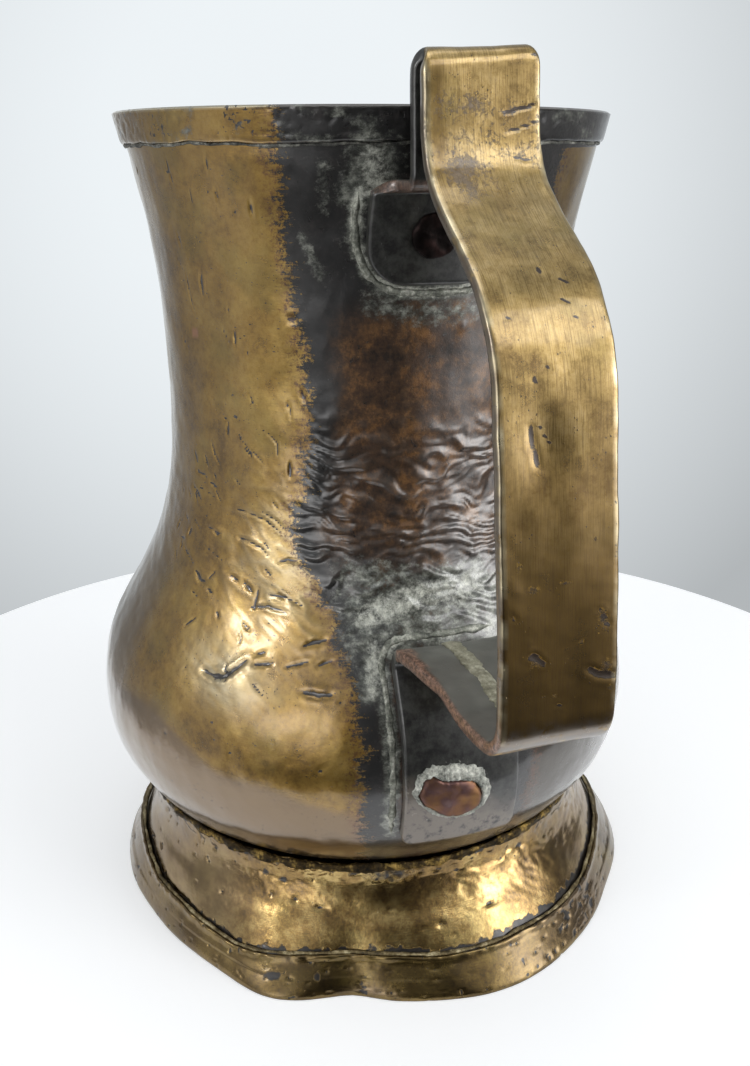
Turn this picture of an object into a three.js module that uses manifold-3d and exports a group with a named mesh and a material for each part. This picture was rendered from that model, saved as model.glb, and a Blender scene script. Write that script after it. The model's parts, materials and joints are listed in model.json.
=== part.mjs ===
// Brass tankard of sheet metal: a raised body on a spreading foot, with a strap handle
// that is riveted to the neck and the belly. Millimetres, +Z up, handle towards +X.

import * as THREE from 'three';
import { mergeVertices } from 'three/addons/utils/BufferGeometryUtils.js';
import Module from 'manifold-3d';

const wasm = await Module();
wasm.setup();

// Driving dimensions
const WALL = 1.2; // sheet thickness of body, floor and foot
const BAND = 0.9; // sheet thickness of the rim and foot bands
const GAP = 0.3; // clearance between pieces that touch
const FACETS = 48; // flat facets around the vessel
const RIM_HEIGHT = 165;
const RIM_BAND_HEIGHT = 5.8;
const SEAM_HEIGHT = 23.4; // where the belly meets the foot
const FLOOR_RADIUS = 43.5;
const STRAP_WIDTH = 19.5;
const STRAP_THICKNESS = 2;
const EAR_SIDE_SHIFT = -1; // the ears sit a little to one side of the strap
const LOWER_EAR = { end: 33.8, top: 62, half: 12, corner: 2.5 };
const UPPER_EAR = { end: 136, top: 149, half: 12.2, corner: 7 };
const FOLD = { x: 51.9, z: 71.4, radius: 1.6 };
const ELBOW = { x: 92.6, z: 70.2, radius: 6 };
const HAIRPIN = { x: 55.6, z: 170.2, radius: 2 };
const LEDGE = { z: 152.6, outer: 53.8, inner: 46.7, radius: 1.6 };
const STRAP_TWIST = { level: 130, slope: 0.0022 }; // above the level, the far edge rises
const STRAP_SEAM = { half: 1.5, shift: -1.3, thickness: 0.5 };
const LOWER_RIVET = { z: 43.8, side: -3.1, head: 3.6, stretch: 1.7 };
const UPPER_RIVET = { z: 144.8, side: -2.1, head: 3.9, stretch: 1 };
const SHANK_RADIUS = 2.4;
const ROVE = { inner: 2.7, outer: 5.2, thickness: 1 };
const RIM_SOLDER = { z: 158.3, thickness: 0.4 };
const FOOT_BAND_SOLDER = { radius: 54.3, z: 7.9, thickness: 0.5 };
const FOOT_JOINT_SOLDER = { radius: 51.2, z: 22.7, thickness: 0.8 };
const EAR_SOLDER = { thickness: 0.9 };
const FOOT_SHIFT = { x: 3.5, y: 1 }; // the foot stands off the vessel's axis
const FOOT_LOBES = [
  // angle from the handle in degrees, push outwards in mm, spread in degrees
  { angle: -39, push: 2.6, spread: 9 },
  { angle: -22.5, push: -1.6, spread: 6 },
  { angle: 8, push: 2.8, spread: 17 },
  { angle: -75, push: -1.4, spread: 18 },
  { angle: 48, push: -1.2, spread: 12 },
];

// Section of the foot band: radius, height
const FOOT_BAND_OUTER = [[58.9, 0], [58.9, 0.8], [58.2, 2.4], [57.2, 4.3], [55.8, 6.8]];
const FOOT_BAND_INNER = [[55, 6.3], [56.3, 4.2], [57, 2.8], [57.3, 1.4], [57.3, 0]];

// Beads of solder around the ears: distance along the wall from the handle's plane, height
const UPPER_EAR_BEAD = [
  [-14.8, 149.5], [-14.9, 143.5], [-12.6, 137.2], [-8, 134.3], [-1, 133.9], [6, 134.3],
  [10.6, 137.2], [12.9, 143.5], [12.8, 149.5],
];
const LOWER_EAR_BEAD = [
  [10, 75.6], [0, 75.8], [-9, 75], [-13.6, 71.8], [-15, 64], [-15, 52], [-15, 42], [-14.6, 35],
];

// Outer outline of the body, from its turned-in lower lip to the rim: radius, height
const bodyCurve = new THREE.SplineCurve([
  new THREE.Vector2(40, 19.7),
  new THREE.Vector2(44.5, 20.3),
  new THREE.Vector2(49, SEAM_HEIGHT),
  new THREE.Vector2(52.6, 26.7),
  new THREE.Vector2(56.7, 33.2),
  new THREE.Vector2(58.8, 41.5),
  new THREE.Vector2(58.8, 50),
  new THREE.Vector2(56.4, 59.4),
  new THREE.Vector2(50.9, 69.4),
  new THREE.Vector2(46, 79.2),
  new THREE.Vector2(42.7, 90),
  new THREE.Vector2(41.2, 102),
  new THREE.Vector2(41.1, 115.5),
  new THREE.Vector2(41.7, 128.7),
  new THREE.Vector2(43.2, 142),
  new THREE.Vector2(45.5, 153),
  new THREE.Vector2(48.1, RIM_HEIGHT),
]);

// Outer outline of the foot, from the seam down to its hidden edge under the foot band
const footCurve = new THREE.SplineCurve([
  new THREE.Vector2(50, 22.6),
  new THREE.Vector2(49.4, 19.4),
  new THREE.Vector2(49.8, 15.4),
  new THREE.Vector2(51.1, 11.2),
  new THREE.Vector2(53.4, 7.3),
  new THREE.Vector2(56.2, 3.4),
]);

// Centre line of the grip, from above the elbow to below the hairpin
const gripCurve = new THREE.SplineCurve([
  new THREE.Vector2(ELBOW.x, ELBOW.z + ELBOW.radius),
  new THREE.Vector2(91.8, 88),
  new THREE.Vector2(90.2, 102),
  new THREE.Vector2(88.3, 116),
  new THREE.Vector2(85.8, 129),
  new THREE.Vector2(80.3, 138.6),
  new THREE.Vector2(70.6, 146.2),
  new THREE.Vector2(62, 153),
  new THREE.Vector2(58.7, 160),
  new THREE.Vector2(HAIRPIN.x + HAIRPIN.radius, HAIRPIN.z),
]);

const bodyOutline = bodyCurve.getPoints(200);

// Moves an open outline sideways; a positive distance is to the right of its direction
function offset(points, distance) {
  return points.map((point, i) => {
    const before = points[Math.max(i - 1, 0)];
    const after = points[Math.min(i + 1, points.length - 1)];
    const along = after.clone().sub(before).normalize();
    return new THREE.Vector2(point.x + along.y * distance, point.y - along.x * distance);
  });
}

// Radius and outward normal of the body's outer face at a height above its lip
function wallAt(z) {
  const last = bodyOutline.length - 1;
  let i = bodyOutline.findIndex((point) => point.y > z);
  i = i < 1 ? last : i;
  const low = bodyOutline[i - 1];
  const high = bodyOutline[i];
  const share = (z - low.y) / (high.y - low.y);
  const along = high.clone().sub(low).normalize();
  return {
    radius: low.x + share * (high.x - low.x),
    normal: new THREE.Vector2(along.y, -along.x),
    rise: along.y,
  };
}

// A point on the body's wall: side is the arc length from the handle's plane
function onWall(side, z, height) {
  const wall = wallAt(z);
  const angle = side / wall.radius;
  const reach = wall.radius + height * wall.normal.x;
  return new THREE.Vector3(
    reach * Math.cos(angle), reach * Math.sin(angle), z + height * wall.normal.y);
}

// Keeps positions only, so that vertices shared by two faces are one vertex
function weld(geometry) {
  geometry.deleteAttribute('normal');
  geometry.deleteAttribute('uv');
  const welded = mergeVertices(geometry);
  welded.computeVertexNormals();
  return welded;
}

function moveVertices(geometry, move) {
  const position = geometry.getAttribute('position');
  const point = new THREE.Vector3();
  for (let i = 0; i < position.count; i += 1) {
    point.fromBufferAttribute(position, i);
    move(point);
    position.setXYZ(i, point.x, point.y, point.z);
  }
  geometry.computeVertexNormals();
  return geometry;
}

// Turns an outline of radius and height about the vertical axis
function revolve(outline, facets = FACETS) {
  const geometry = new THREE.LatheGeometry(outline, facets);
  geometry.rotateX(Math.PI / 2);
  return weld(geometry);
}

// A sheet of even thickness between an outer outline, going up, and its offset
function shell(outer, thickness) {
  const inner = offset(outer, -thickness);
  inner.forEach((point) => point.setY(Math.min(point.y, RIM_HEIGHT)));
  return revolve([...outer, ...inner.reverse(), outer[0]]);
}

// A ring with a round section
function ring(radius, z, thickness, sides = 5) {
  const outline = [];
  for (let i = 0; i <= sides; i += 1) {
    const angle = ((i % sides) / sides) * Math.PI * 2;
    outline.push(new THREE.Vector2(
      radius + thickness * Math.cos(angle), z + thickness * Math.sin(angle)));
  }
  return revolve(outline);
}

// Bends a piece made flat around the origin onto the body's wall
function seatOnWall(geometry, z, side) {
  const { rise } = wallAt(z);
  return moveVertices(geometry, (point) => {
    point.copy(onWall(side + point.x, z + point.y * rise, point.z));
  });
}

// The foot leans off the axis and its edge is pushed in and out by use
function bendFoot(geometry) {
  return moveVertices(geometry, (point) => {
    const depth = THREE.MathUtils.clamp(1 - point.z / SEAM_HEIGHT, 0, 1);
    const radius = Math.hypot(point.x, point.y);
    const degrees = THREE.MathUtils.radToDeg(Math.atan2(point.y, point.x));
    let push = 0;
    for (const lobe of FOOT_LOBES) {
      push += lobe.push * Math.exp(-(((degrees - lobe.angle) / lobe.spread) ** 2));
    }
    const scale = (radius + push * depth * depth) / radius;
    point.x = point.x * scale + FOOT_SHIFT.x * depth;
    point.y = point.y * scale + FOOT_SHIFT.y * depth;
  });
}

function toManifold(geometry) {
  return new wasm.Manifold(new wasm.Mesh({
    numProp: 3,
    vertProperties: new Float32Array(geometry.getAttribute('position').array),
    triVerts: new Uint32Array(geometry.getIndex().array),
  }));
}

function subtract(geometry, cutters) {
  let solid = toManifold(geometry);
  for (const cutter of cutters) {
    solid = solid.subtract(toManifold(cutter));
  }
  const mesh = solid.getMesh();
  const result = new THREE.BufferGeometry();
  result.setAttribute('position', new THREE.BufferAttribute(mesh.vertProperties, 3));
  result.setIndex(new THREE.BufferAttribute(mesh.triVerts, 1));
  result.computeVertexNormals();
  return result;
}

// The hole that a rivet's shank passes through
function rivetHole(rivet) {
  const reach = STRAP_THICKNESS + WALL + 2;
  const geometry = new THREE.CylinderGeometry(
    SHANK_RADIUS + GAP, SHANK_RADIUS + GAP, 2 * reach, 24);
  geometry.rotateX(Math.PI / 2);
  return seatOnWall(weld(geometry), rivet.z, rivet.side);
}

// Corner of the strap's centre line, rounded by an arc
function bend(from, corner, to, radius, steps) {
  const arrive = corner.clone().sub(from).normalize();
  const leave = to.clone().sub(corner).normalize();
  const turn = Math.acos(THREE.MathUtils.clamp(arrive.dot(leave), -1, 1));
  const reach = radius * Math.tan(turn / 2);
  const start = corner.clone().addScaledVector(arrive, -reach);
  const clockwise = arrive.x * leave.y - arrive.y * leave.x < 0 ? -1 : 1;
  const side = new THREE.Vector2(-arrive.y, arrive.x).multiplyScalar(clockwise * radius);
  const centre = start.clone().add(side);
  const points = [];
  for (let i = 0; i <= steps; i += 1) {
    points.push(start.clone().rotateAround(centre, (clockwise * turn * i) / steps));
  }
  return points;
}

// Half the width of an ear at a distance from its rounded end
function earHalfWidth(ear, distance) {
  const inset = Math.max(ear.corner - distance, 0);
  return ear.half - (ear.corner - Math.sqrt(ear.corner ** 2 - inset ** 2));
}

// Stations of an ear that lies on the wall, from its end towards the strap
function earStations(ear, steps) {
  const distances = [0, 0.08, 0.3, 0.65, 1].map((share) => share * ear.corner);
  for (let i = 1; i <= steps; i += 1) {
    distances.push(ear.corner + ((ear.top - ear.end - ear.corner) * i) / steps);
  }
  return distances.map((distance) => {
    const z = ear.end + distance;
    const wall = wallAt(z);
    const point = new THREE.Vector2(wall.radius, z)
      .addScaledVector(wall.normal, GAP + STRAP_THICKNESS / 2);
    return { point, half: earHalfWidth(ear, distance), shift: EAR_SIDE_SHIFT, hug: 1 };
  });
}

// Stations between two ears or bends, with the width eased from one end to the other
function freeStations(points, from, to) {
  return points.map((point, i) => {
    const share = points.length > 1 ? i / (points.length - 1) : 0;
    return {
      point,
      half: THREE.MathUtils.lerp(from.half, to.half, share),
      shift: THREE.MathUtils.lerp(from.shift, to.shift, share),
      hug: THREE.MathUtils.lerp(from.hug, to.hug, share),
    };
  });
}

// Lays a flat section along the stations: inner and outer are distances from the centre line
function loft(stations, inner, outer, columns = 4) {
  const centreLine = stations.map((station) => station.point);
  const faces = [offset(centreLine, outer), offset(centreLine, inner)];
  const positions = [];
  stations.forEach((station, i) => {
    for (let j = 0; j < 2 * (columns + 1); j += 1) {
      const back = j > columns;
      const across = back ? 2 * columns + 1 - j : j;
      const face = faces[back ? 1 : 0][i];
      const side = station.shift + station.half * ((2 * across) / columns - 1);
      const round = Math.sqrt(face.x ** 2 - side ** 2);
      const free = (1 - station.hug) * THREE.MathUtils.smoothstep(face.x, 52, 60);
      const climb = Math.max(face.y - STRAP_TWIST.level, 0);
      const lift = side * free * STRAP_TWIST.slope * climb;
      positions.push(THREE.MathUtils.lerp(face.x, round, station.hug), side, face.y + lift);
    }
  });
  const count = 2 * (columns + 1);
  const indices = [];
  for (let i = 0; i < stations.length - 1; i += 1) {
    for (let j = 0; j < count; j += 1) {
      const a = i * count + j;
      const b = i * count + ((j + 1) % count);
      indices.push(a, b, b + count, a, b + count, a + count);
    }
  }
  const last = (stations.length - 1) * count;
  for (let j = 0; j < columns; j += 1) {
    const across = count - 1 - j;
    indices.push(j, across, across - 1, j, across - 1, j + 1);
    indices.push(last + j, last + j + 1, last + across - 1, last + j, last + across - 1, last + across);
  }
  const geometry = new THREE.BufferGeometry();
  geometry.setAttribute('position', new THREE.Float32BufferAttribute(positions, 3));
  geometry.setIndex(indices);
  geometry.computeVertexNormals();
  return geometry;
}

// A round bead of solder laid on the wall through points of side and height
function bead(route, thickness) {
  const curve = new THREE.CatmullRomCurve3(
    route.map(([side, z]) => onWall(side, z, GAP + thickness)));
  const section = new THREE.Shape().absarc(0, 0, thickness, 0, Math.PI * 2);
  return weld(new THREE.ExtrudeGeometry(section, {
    steps: 3 * route.length, curveSegments: 3, extrudePath: curve, bevelEnabled: false }));
}

// Body, floor and bands
function bodyShell() {
  const holes = [rivetHole(LOWER_RIVET), rivetHole(UPPER_RIVET)];
  return subtract(shell(bodyCurve.getPoints(25), WALL), holes);
}

const FLOOR_LEVEL = 19.7 + WALL + GAP;

function floorDisc() {
  return revolve([
    new THREE.Vector2(0, FLOOR_LEVEL),
    new THREE.Vector2(FLOOR_RADIUS - 1, FLOOR_LEVEL),
    new THREE.Vector2(FLOOR_RADIUS, FLOOR_LEVEL + WALL),
    new THREE.Vector2(0, FLOOR_LEVEL + WALL),
  ]);
}

function rimBand() {
  const low = RIM_HEIGHT - RIM_BAND_HEIGHT;
  const outer = [low, low + RIM_BAND_HEIGHT / 2, RIM_HEIGHT].map(
    (z) => new THREE.Vector2(wallAt(Math.min(z, RIM_HEIGHT - 0.1)).radius + GAP + BAND, z));
  const inner = outer.map((point) => new THREE.Vector2(point.x - BAND, point.y)).reverse();
  return revolve([...outer, ...inner, outer[0]]);
}

// The line of solder under the rim band
function rimSolder() {
  const { z, thickness } = RIM_SOLDER;
  return ring(wallAt(z).radius + thickness + GAP, z, thickness);
}

// Foot, foot band and their solder
function foot() {
  return bendFoot(shell(footCurve.getPoints(7).reverse(), WALL));
}

function footBand() {
  const section = [...FOOT_BAND_OUTER, ...FOOT_BAND_INNER, FOOT_BAND_OUTER[0]];
  return bendFoot(revolve(section.map(([radius, z]) => new THREE.Vector2(radius, z))));
}

function footSolder({ radius, z, thickness }) {
  return bendFoot(ring(radius, z, thickness));
}

// The strap's centre line runs from the lower ear over the fold, the elbow, the grip
// and the hairpin to the upper ear
const EAR = { half: LOWER_EAR.half, shift: EAR_SIDE_SHIFT, hug: 1 };
const PLAIN = { half: STRAP_WIDTH / 2, shift: 0, hug: 0 };

function strapStations() {
  const lowerEar = earStations(LOWER_EAR, 9);
  const foldTip = new THREE.Vector2(FOLD.x, FOLD.z);
  const elbowTip = new THREE.Vector2(ELBOW.x, ELBOW.z);
  const fold = bend(lowerEar[lowerEar.length - 1].point, foldTip, elbowTip, FOLD.radius, 8);
  const elbow = bend(foldTip, elbowTip, gripCurve.getPoint(0), ELBOW.radius, 8);
  const armStart = fold[fold.length - 1];
  const arm = [0.12, 0.25, 0.5, 0.75].map((share) => armStart.clone().lerp(elbow[0], share));
  const onArm = { ...PLAIN, hug: 0.6 };
  const grip = gripCurve.getPoints(24).slice(1);
  const hairpinCentre = new THREE.Vector2(HAIRPIN.x, HAIRPIN.z);
  const hairpin = [];
  for (let i = 1; i <= 8; i += 1) {
    hairpin.push(grip[grip.length - 1].clone().rotateAround(hairpinCentre, (Math.PI * i) / 8));
  }
  const ledgeOuter = new THREE.Vector2(LEDGE.outer, LEDGE.z);
  const ledgeInner = new THREE.Vector2(LEDGE.inner, LEDGE.z);
  const upperEar = earStations(UPPER_EAR, 4).reverse();
  const outerBend = bend(hairpin[7], ledgeOuter, ledgeInner, LEDGE.radius, 6);
  const innerBend = bend(ledgeOuter, ledgeInner, upperEar[0].point, LEDGE.radius, 6);
  return [
    ...lowerEar,
    ...freeStations(fold, EAR, onArm),
    ...freeStations(arm, onArm, PLAIN),
    ...freeStations([...elbow, ...grip, ...hairpin, ...outerBend], PLAIN, PLAIN),
    ...freeStations(innerBend, { ...PLAIN, hug: 0.5 }, { ...EAR, half: UPPER_EAR.half }),
    ...upperEar,
  ];
}

function handleStrap() {
  const strap = loft(strapStations(), -STRAP_THICKNESS / 2, STRAP_THICKNESS / 2);
  return subtract(strap, [rivetHole(LOWER_RIVET), rivetHole(UPPER_RIVET)]);
}

// The strap's edges meet along the middle of its inner face, under a line of solder
function handleSeam() {
  const stations = strapStations().filter((station) => station.half === PLAIN.half);
  const first = stations.findIndex((station) => station.point.x > FOLD.x + 4);
  const last = stations.findIndex((station) => station.point.y > LEDGE.z);
  const face = -STRAP_THICKNESS / 2 - GAP;
  const { half, shift } = STRAP_SEAM;
  const strip = stations.slice(first, last).map((station) => ({ ...station, half, shift }));
  return loft(strip, face - STRAP_SEAM.thickness, face, 2);
}

// A copper rivet: head on the ear, shank through ear and wall, clenched end on the rove
function rivetBody(rivet) {
  const headBase = STRAP_THICKNESS + 2 * GAP;
  const clench = -(WALL + ROVE.thickness + 2 * GAP);
  const outline = [
    [0, clench - 1.2], [2.8, clench - 0.9], [4, clench], [SHANK_RADIUS, clench],
    [SHANK_RADIUS, headBase], [rivet.head, headBase], [rivet.head - 0.3, headBase + 0.7],
    [rivet.head * 0.6, headBase + 1.15], [0, headBase + 1.3],
  ].map(([radius, height]) => new THREE.Vector2(radius, height));
  const geometry = revolve(outline, 24);
  moveVertices(geometry, (point) => {
    if (point.z > headBase - 0.01 && Math.hypot(point.x, point.y) > SHANK_RADIUS + 0.01) {
      point.x *= rivet.stretch;
    }
  });
  return seatOnWall(geometry, rivet.z, rivet.side);
}

function rove(rivet) {
  const top = -(WALL + GAP);
  const low = top - ROVE.thickness;
  const outline = [
    [ROVE.inner, low], [ROVE.outer - 0.2, low], [ROVE.outer, top], [ROVE.inner, top],
    [ROVE.inner, low],
  ].map(([radius, height]) => new THREE.Vector2(radius, height));
  return seatOnWall(revolve(outline, 24), rivet.z, rivet.side);
}

// Solder that ran around the lower rivet's head
function rivetSolder(rivet) {
  const base = STRAP_THICKNESS + 2 * GAP;
  const inner = rivet.head + GAP;
  const outline = [
    [inner, base], [inner + 1.5, base], [inner + 1.1, base + 0.6], [inner + 0.4, base + 0.9],
    [inner, base + 0.8], [inner, base],
  ].map(([radius, height]) => new THREE.Vector2(radius, height));
  const geometry = revolve(outline, 24);
  geometry.scale(rivet.stretch, 1, 1);
  return seatOnWall(geometry, rivet.z, rivet.side);
}

// Colours of the metals
const BRASS = new THREE.Color('#8f7037');
const BRIGHT_BRASS = new THREE.Color('#a98a48');
const DARK_BRASS = new THREE.Color('#5e4d2c');
const COPPER = new THREE.Color('#7d4a35');
const SOLDER = new THREE.Color('#8b8d84');

const tankard = new THREE.Group();

function addPiece(name, geometry, color, roughness) {
  const material = new THREE.MeshStandardMaterial({ color, roughness, metalness: 1 });
  const mesh = new THREE.Mesh(geometry, material);
  mesh.name = name;
  tankard.add(mesh);
}

addPiece('body_shell', bodyShell(), BRASS, 0.32);
addPiece('floor_disc', floorDisc(), DARK_BRASS, 0.45);
addPiece('rim_band', rimBand(), BRASS, 0.35);
addPiece('foot', foot(), BRASS, 0.34);
addPiece('foot_band', footBand(), DARK_BRASS, 0.4);
addPiece('handle_strap', handleStrap(), BRIGHT_BRASS, 0.34);
addPiece('upper_rivet', rivetBody(UPPER_RIVET), COPPER, 0.5);
addPiece('lower_rivet', rivetBody(LOWER_RIVET), COPPER, 0.42);
addPiece('upper_rove', rove(UPPER_RIVET), COPPER, 0.5);
addPiece('lower_rove', rove(LOWER_RIVET), COPPER, 0.5);
addPiece('handle_seam_solder', handleSeam(), SOLDER, 0.6);
addPiece('lower_rivet_solder', rivetSolder(LOWER_RIVET), SOLDER, 0.6);
addPiece('upper_ear_solder', bead(UPPER_EAR_BEAD, EAR_SOLDER.thickness), SOLDER, 0.6);
addPiece('lower_ear_solder', bead(LOWER_EAR_BEAD, EAR_SOLDER.thickness), SOLDER, 0.6);
addPiece('rim_band_solder', rimSolder(), SOLDER, 0.6);
addPiece('foot_band_solder', footSolder(FOOT_BAND_SOLDER), SOLDER, 0.6);
addPiece('foot_joint_solder', footSolder(FOOT_JOINT_SOLDER), SOLDER, 0.6);

// The origin is at the middle of the tankard's base
const box = new THREE.Box3().setFromObject(tankard);
const middle = box.getCenter(new THREE.Vector3());
tankard.position.set(-middle.x, -middle.y, -box.min.z);

const group = new THREE.Group();
group.name = 'brass_tankard';
group.add(tankard);

export default group;
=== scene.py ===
import json
import math

import bpy
import numpy as np
from mathutils import Matrix, Vector

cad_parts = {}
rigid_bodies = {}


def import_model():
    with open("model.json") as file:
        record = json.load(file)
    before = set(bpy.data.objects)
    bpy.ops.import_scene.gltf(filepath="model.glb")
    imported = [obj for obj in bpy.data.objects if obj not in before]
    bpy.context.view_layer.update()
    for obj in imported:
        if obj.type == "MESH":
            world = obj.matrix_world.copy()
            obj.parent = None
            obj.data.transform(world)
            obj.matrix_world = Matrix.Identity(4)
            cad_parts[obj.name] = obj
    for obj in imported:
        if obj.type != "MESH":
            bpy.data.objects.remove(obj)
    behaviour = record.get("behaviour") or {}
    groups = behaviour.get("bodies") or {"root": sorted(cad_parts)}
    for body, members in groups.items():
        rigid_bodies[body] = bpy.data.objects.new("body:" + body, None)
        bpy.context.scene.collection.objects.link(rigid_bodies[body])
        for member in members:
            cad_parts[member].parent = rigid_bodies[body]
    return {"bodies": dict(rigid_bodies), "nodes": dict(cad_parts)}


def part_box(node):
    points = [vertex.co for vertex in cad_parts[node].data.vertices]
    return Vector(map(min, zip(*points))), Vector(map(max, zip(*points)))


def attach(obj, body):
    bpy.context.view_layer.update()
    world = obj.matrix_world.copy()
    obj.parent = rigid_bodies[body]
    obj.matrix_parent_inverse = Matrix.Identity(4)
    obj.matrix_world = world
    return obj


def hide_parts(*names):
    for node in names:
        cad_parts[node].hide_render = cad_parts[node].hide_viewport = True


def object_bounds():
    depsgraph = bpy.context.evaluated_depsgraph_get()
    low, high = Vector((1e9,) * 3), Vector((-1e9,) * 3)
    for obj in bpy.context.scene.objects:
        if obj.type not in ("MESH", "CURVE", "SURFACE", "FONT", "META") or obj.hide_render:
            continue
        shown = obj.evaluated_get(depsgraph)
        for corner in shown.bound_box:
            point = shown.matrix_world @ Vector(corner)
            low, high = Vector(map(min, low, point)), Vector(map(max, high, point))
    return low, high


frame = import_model()
cad_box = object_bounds()

# Lengths are in millimetres from the vessel's axis and the table, as in the solids,
# and angles in degrees from the handle, seen from above
MM = 0.001
WALL = 1.2
BAND = 0.9
SEAT = 0.1  # what is left between pieces that are soldered together
RIM_HEIGHT = 165
RIM_BAND_LOW = 159.5
SEAM_HEIGHT = 23.4
STRAP_HALF = 9.75
STRAP_THICKNESS = 2
ARM_THICKNESS = 2.4
LOWER_EAR = {"end": 33.8, "top": 62, "half": 11.5, "corner": 2.5, "shift": -0.4}
UPPER_EAR = {"end": 136, "top": 149, "half": 12.2, "corner": 7, "shift": -1}
FOLD = {"tip": (51.9, 71.9), "radius": 2.8}
ELBOW = {"tip": (92.6, 70.2), "radius": 6}
HAIRPIN = {"x": 55.6, "z": 170.2, "radius": 2}
LEDGE = {"outer": (53.8, 152.6), "inner": (46.7, 152.6), "radius": 1.6}
TWIST = {"level": 130, "slope": 0.0022}  # above the level, the far edge rises
LOWER_RIVET = {"z": 43.8, "side": -3.1}
UPPER_RIVET = {"z": 144.8, "side": -2.1}
FOOT_SHIFT = (3.5, 1, 0)  # how far the foot's lower edge lies off the axis
# Where the foot's edge is pushed in or out: degrees, push outwards, spread in degrees
FOOT_LOBES = [(-39, 2.6, 9), (-22.5, -1.6, 6), (8, 2.8, 17), (-75, -1.4, 18), (48, -1.2, 12)]

# Outer outlines as radius and height
BODY_OUTLINE = [
    (40, 19.7), (44.5, 20.3), (49, SEAM_HEIGHT), (52.6, 26.7), (56.7, 33.2), (58.8, 41.5),
    (58.8, 50), (56.4, 59.4), (50.9, 69.4), (46, 79.2), (42.7, 90), (41.2, 102), (41.1, 115.5),
    (41.7, 128.7), (43.2, 142), (45.5, 153), (48.1, RIM_HEIGHT)]
FOOT_OUTLINE = [(56.2, 3.4), (54.5, 7), (52.5, 11), (51, 13.6), (50, 16), (49.4, 19.4), (50, 22.6)]
FOOT_BAND_OUTER = [(58.9, 0), (58.9, 0.8), (58.2, 2.4), (57.2, 4.3), (55.8, 6.8)]
FOOT_BAND_INNER = [(55, 6.3), (56.3, 4.2), (57, 2.8), (57.3, 1.4), (57.3, 0)]
GRIP_LINE = [
    (92.6, 76.2), (91.8, 88), (90.2, 102), (88.3, 116), (85.8, 129), (80.3, 138.6), (70.6, 146.2),
    (62, 153), (58.7, 160), (57.6, 170.2)]
RIM_RADIUS = BODY_OUTLINE[-1][0]
LIP = 0.45  # how far the wall's top edge is rounded
HEM_LEVEL = FOOT_BAND_OUTER[-1][1]

# Numbers of points: around the wall and the foot, around the rim band, up the wall
# outside and inside, along closed beads and around all beads, along the strap and its
# seam, around the seam, the rivets, their solder and the table
WALL_COLUMNS = 348
RIM_COLUMNS = 380
WALL_ROWS = 258
INSIDE_ROWS = 46
BEAD_ROWS = 700
BEAD_COLUMNS = 14
STRAP_ROWS = 520
SEAM_ROWS = 360
SEAM_COLUMNS = 12
RIVET_COLUMNS = 120
RING_COLUMNS = 240
TABLE_COLUMNS = 256

# Camera, table and surroundings
HANDLE_TURN = 18.4  # the handle stands this far to the right of the camera's side
CAMERA = {"reach": 236.5, "height": 157.3, "yaw": 0.65, "pitch": 18.97}
FOCAL_PIXELS = 1100
FRAME_PIXELS = 1066
SENSOR = 36
TABLE = {"radius": 163, "x": -39.7, "y": 17.6, "thickness": 12, "edge": 1.5}
FLAG = {"reach": 700, "height": 90, "blur": 13}  # the screen that stands for the room
LIGHT_AIM = 0.08  # the height that the lights aim at, in metres

low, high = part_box("body_shell")
AXIS = np.array([(low[0] + high[0]) / 2, (low[1] + high[1]) / 2, 0])
BODY = next(iter(frame["bodies"]))
BOX_LOW, BOX_HIGH = [(np.array(corner) - AXIS) / MM for corner in cad_box]


# Small mathematics
class Noise:
    """Smooth gradient noise in space, the same in every run."""

    def __init__(self, seed):
        draws = np.random.default_rng(seed)
        self.order = draws.permutation(256)
        self.slopes = draws.normal(size=(256, 3))
        self.slopes /= np.linalg.norm(self.slopes, axis=1, keepdims=True)

    def at(self, x, y, z):
        """From about -1 to 1, with bumps one unit wide."""
        place = np.broadcast_arrays(x, y, z)
        cells = [np.floor(v).astype(int) for v in place]
        parts = [v - cell for v, cell in zip(place, cells)]
        eases = [p ** 3 * (p * (p * 6 - 15) + 10) for p in parts]
        total = np.zeros(place[0].shape)
        for corner in np.ndindex(2, 2, 2):
            index = 0
            weight = 1.0
            for k in range(3):
                index = self.order[(index + cells[k] + corner[k]) & 255]
                weight = weight * (eases[k] if corner[k] else 1 - eases[k])
            slope = self.slopes[index]
            total += weight * sum(slope[..., k] * (parts[k] - corner[k]) for k in range(3))
        return total * 1.6

    def layers(self, x, y, z, count=3):
        """The same with finer and weaker noise on top."""
        scales = [2 ** k for k in range(count)]
        return sum(self.at(x * scale, y * scale, z * scale) / scale for scale in scales)

    def over(self, place, size, count=1):
        """Layers over points, with bumps of one size or of one for each axis."""
        return self.layers(*np.moveaxis(place / np.asarray(size), -1, 0), count)


NOISE = Noise(7)
FOLDS = Noise(21)


def smooth(low, high, value):
    """From 0 at low to 1 at high, smooth between and level beyond."""
    share = np.clip((value - low) / (high - low), 0, 1)
    return share * share * (3 - 2 * share)


def hump(value, middle, spread):
    """1 in the middle, fading to both sides."""
    return np.exp(-(((value - middle) / spread) ** 2))


def ridges(noise, u, v, w):
    """Sharp crests with round valleys between them, from 0 to 1."""
    return np.maximum(1 - 2.3 * np.abs(noise.at(u, v, w)), 0) ** 1.4


def spline(points, count):
    """A smooth curve through all points, with count steps."""
    points = np.array(points, float)
    last = len(points) - 1
    place = np.linspace(0, last, count + 1)
    i = np.minimum(place.astype(int), last - 1)
    t = (place - i)[:, None]
    before, start = points[np.maximum(i - 1, 0)], points[i]
    end, after = points[i + 1], points[np.minimum(i + 2, last)]
    a, b = (end - before) / 2, (after - start) / 2
    return ((2 * start - 2 * end + a + b) * t ** 3
            + (3 * end - 3 * start - 2 * a - b) * t ** 2 + a * t + start)


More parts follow.
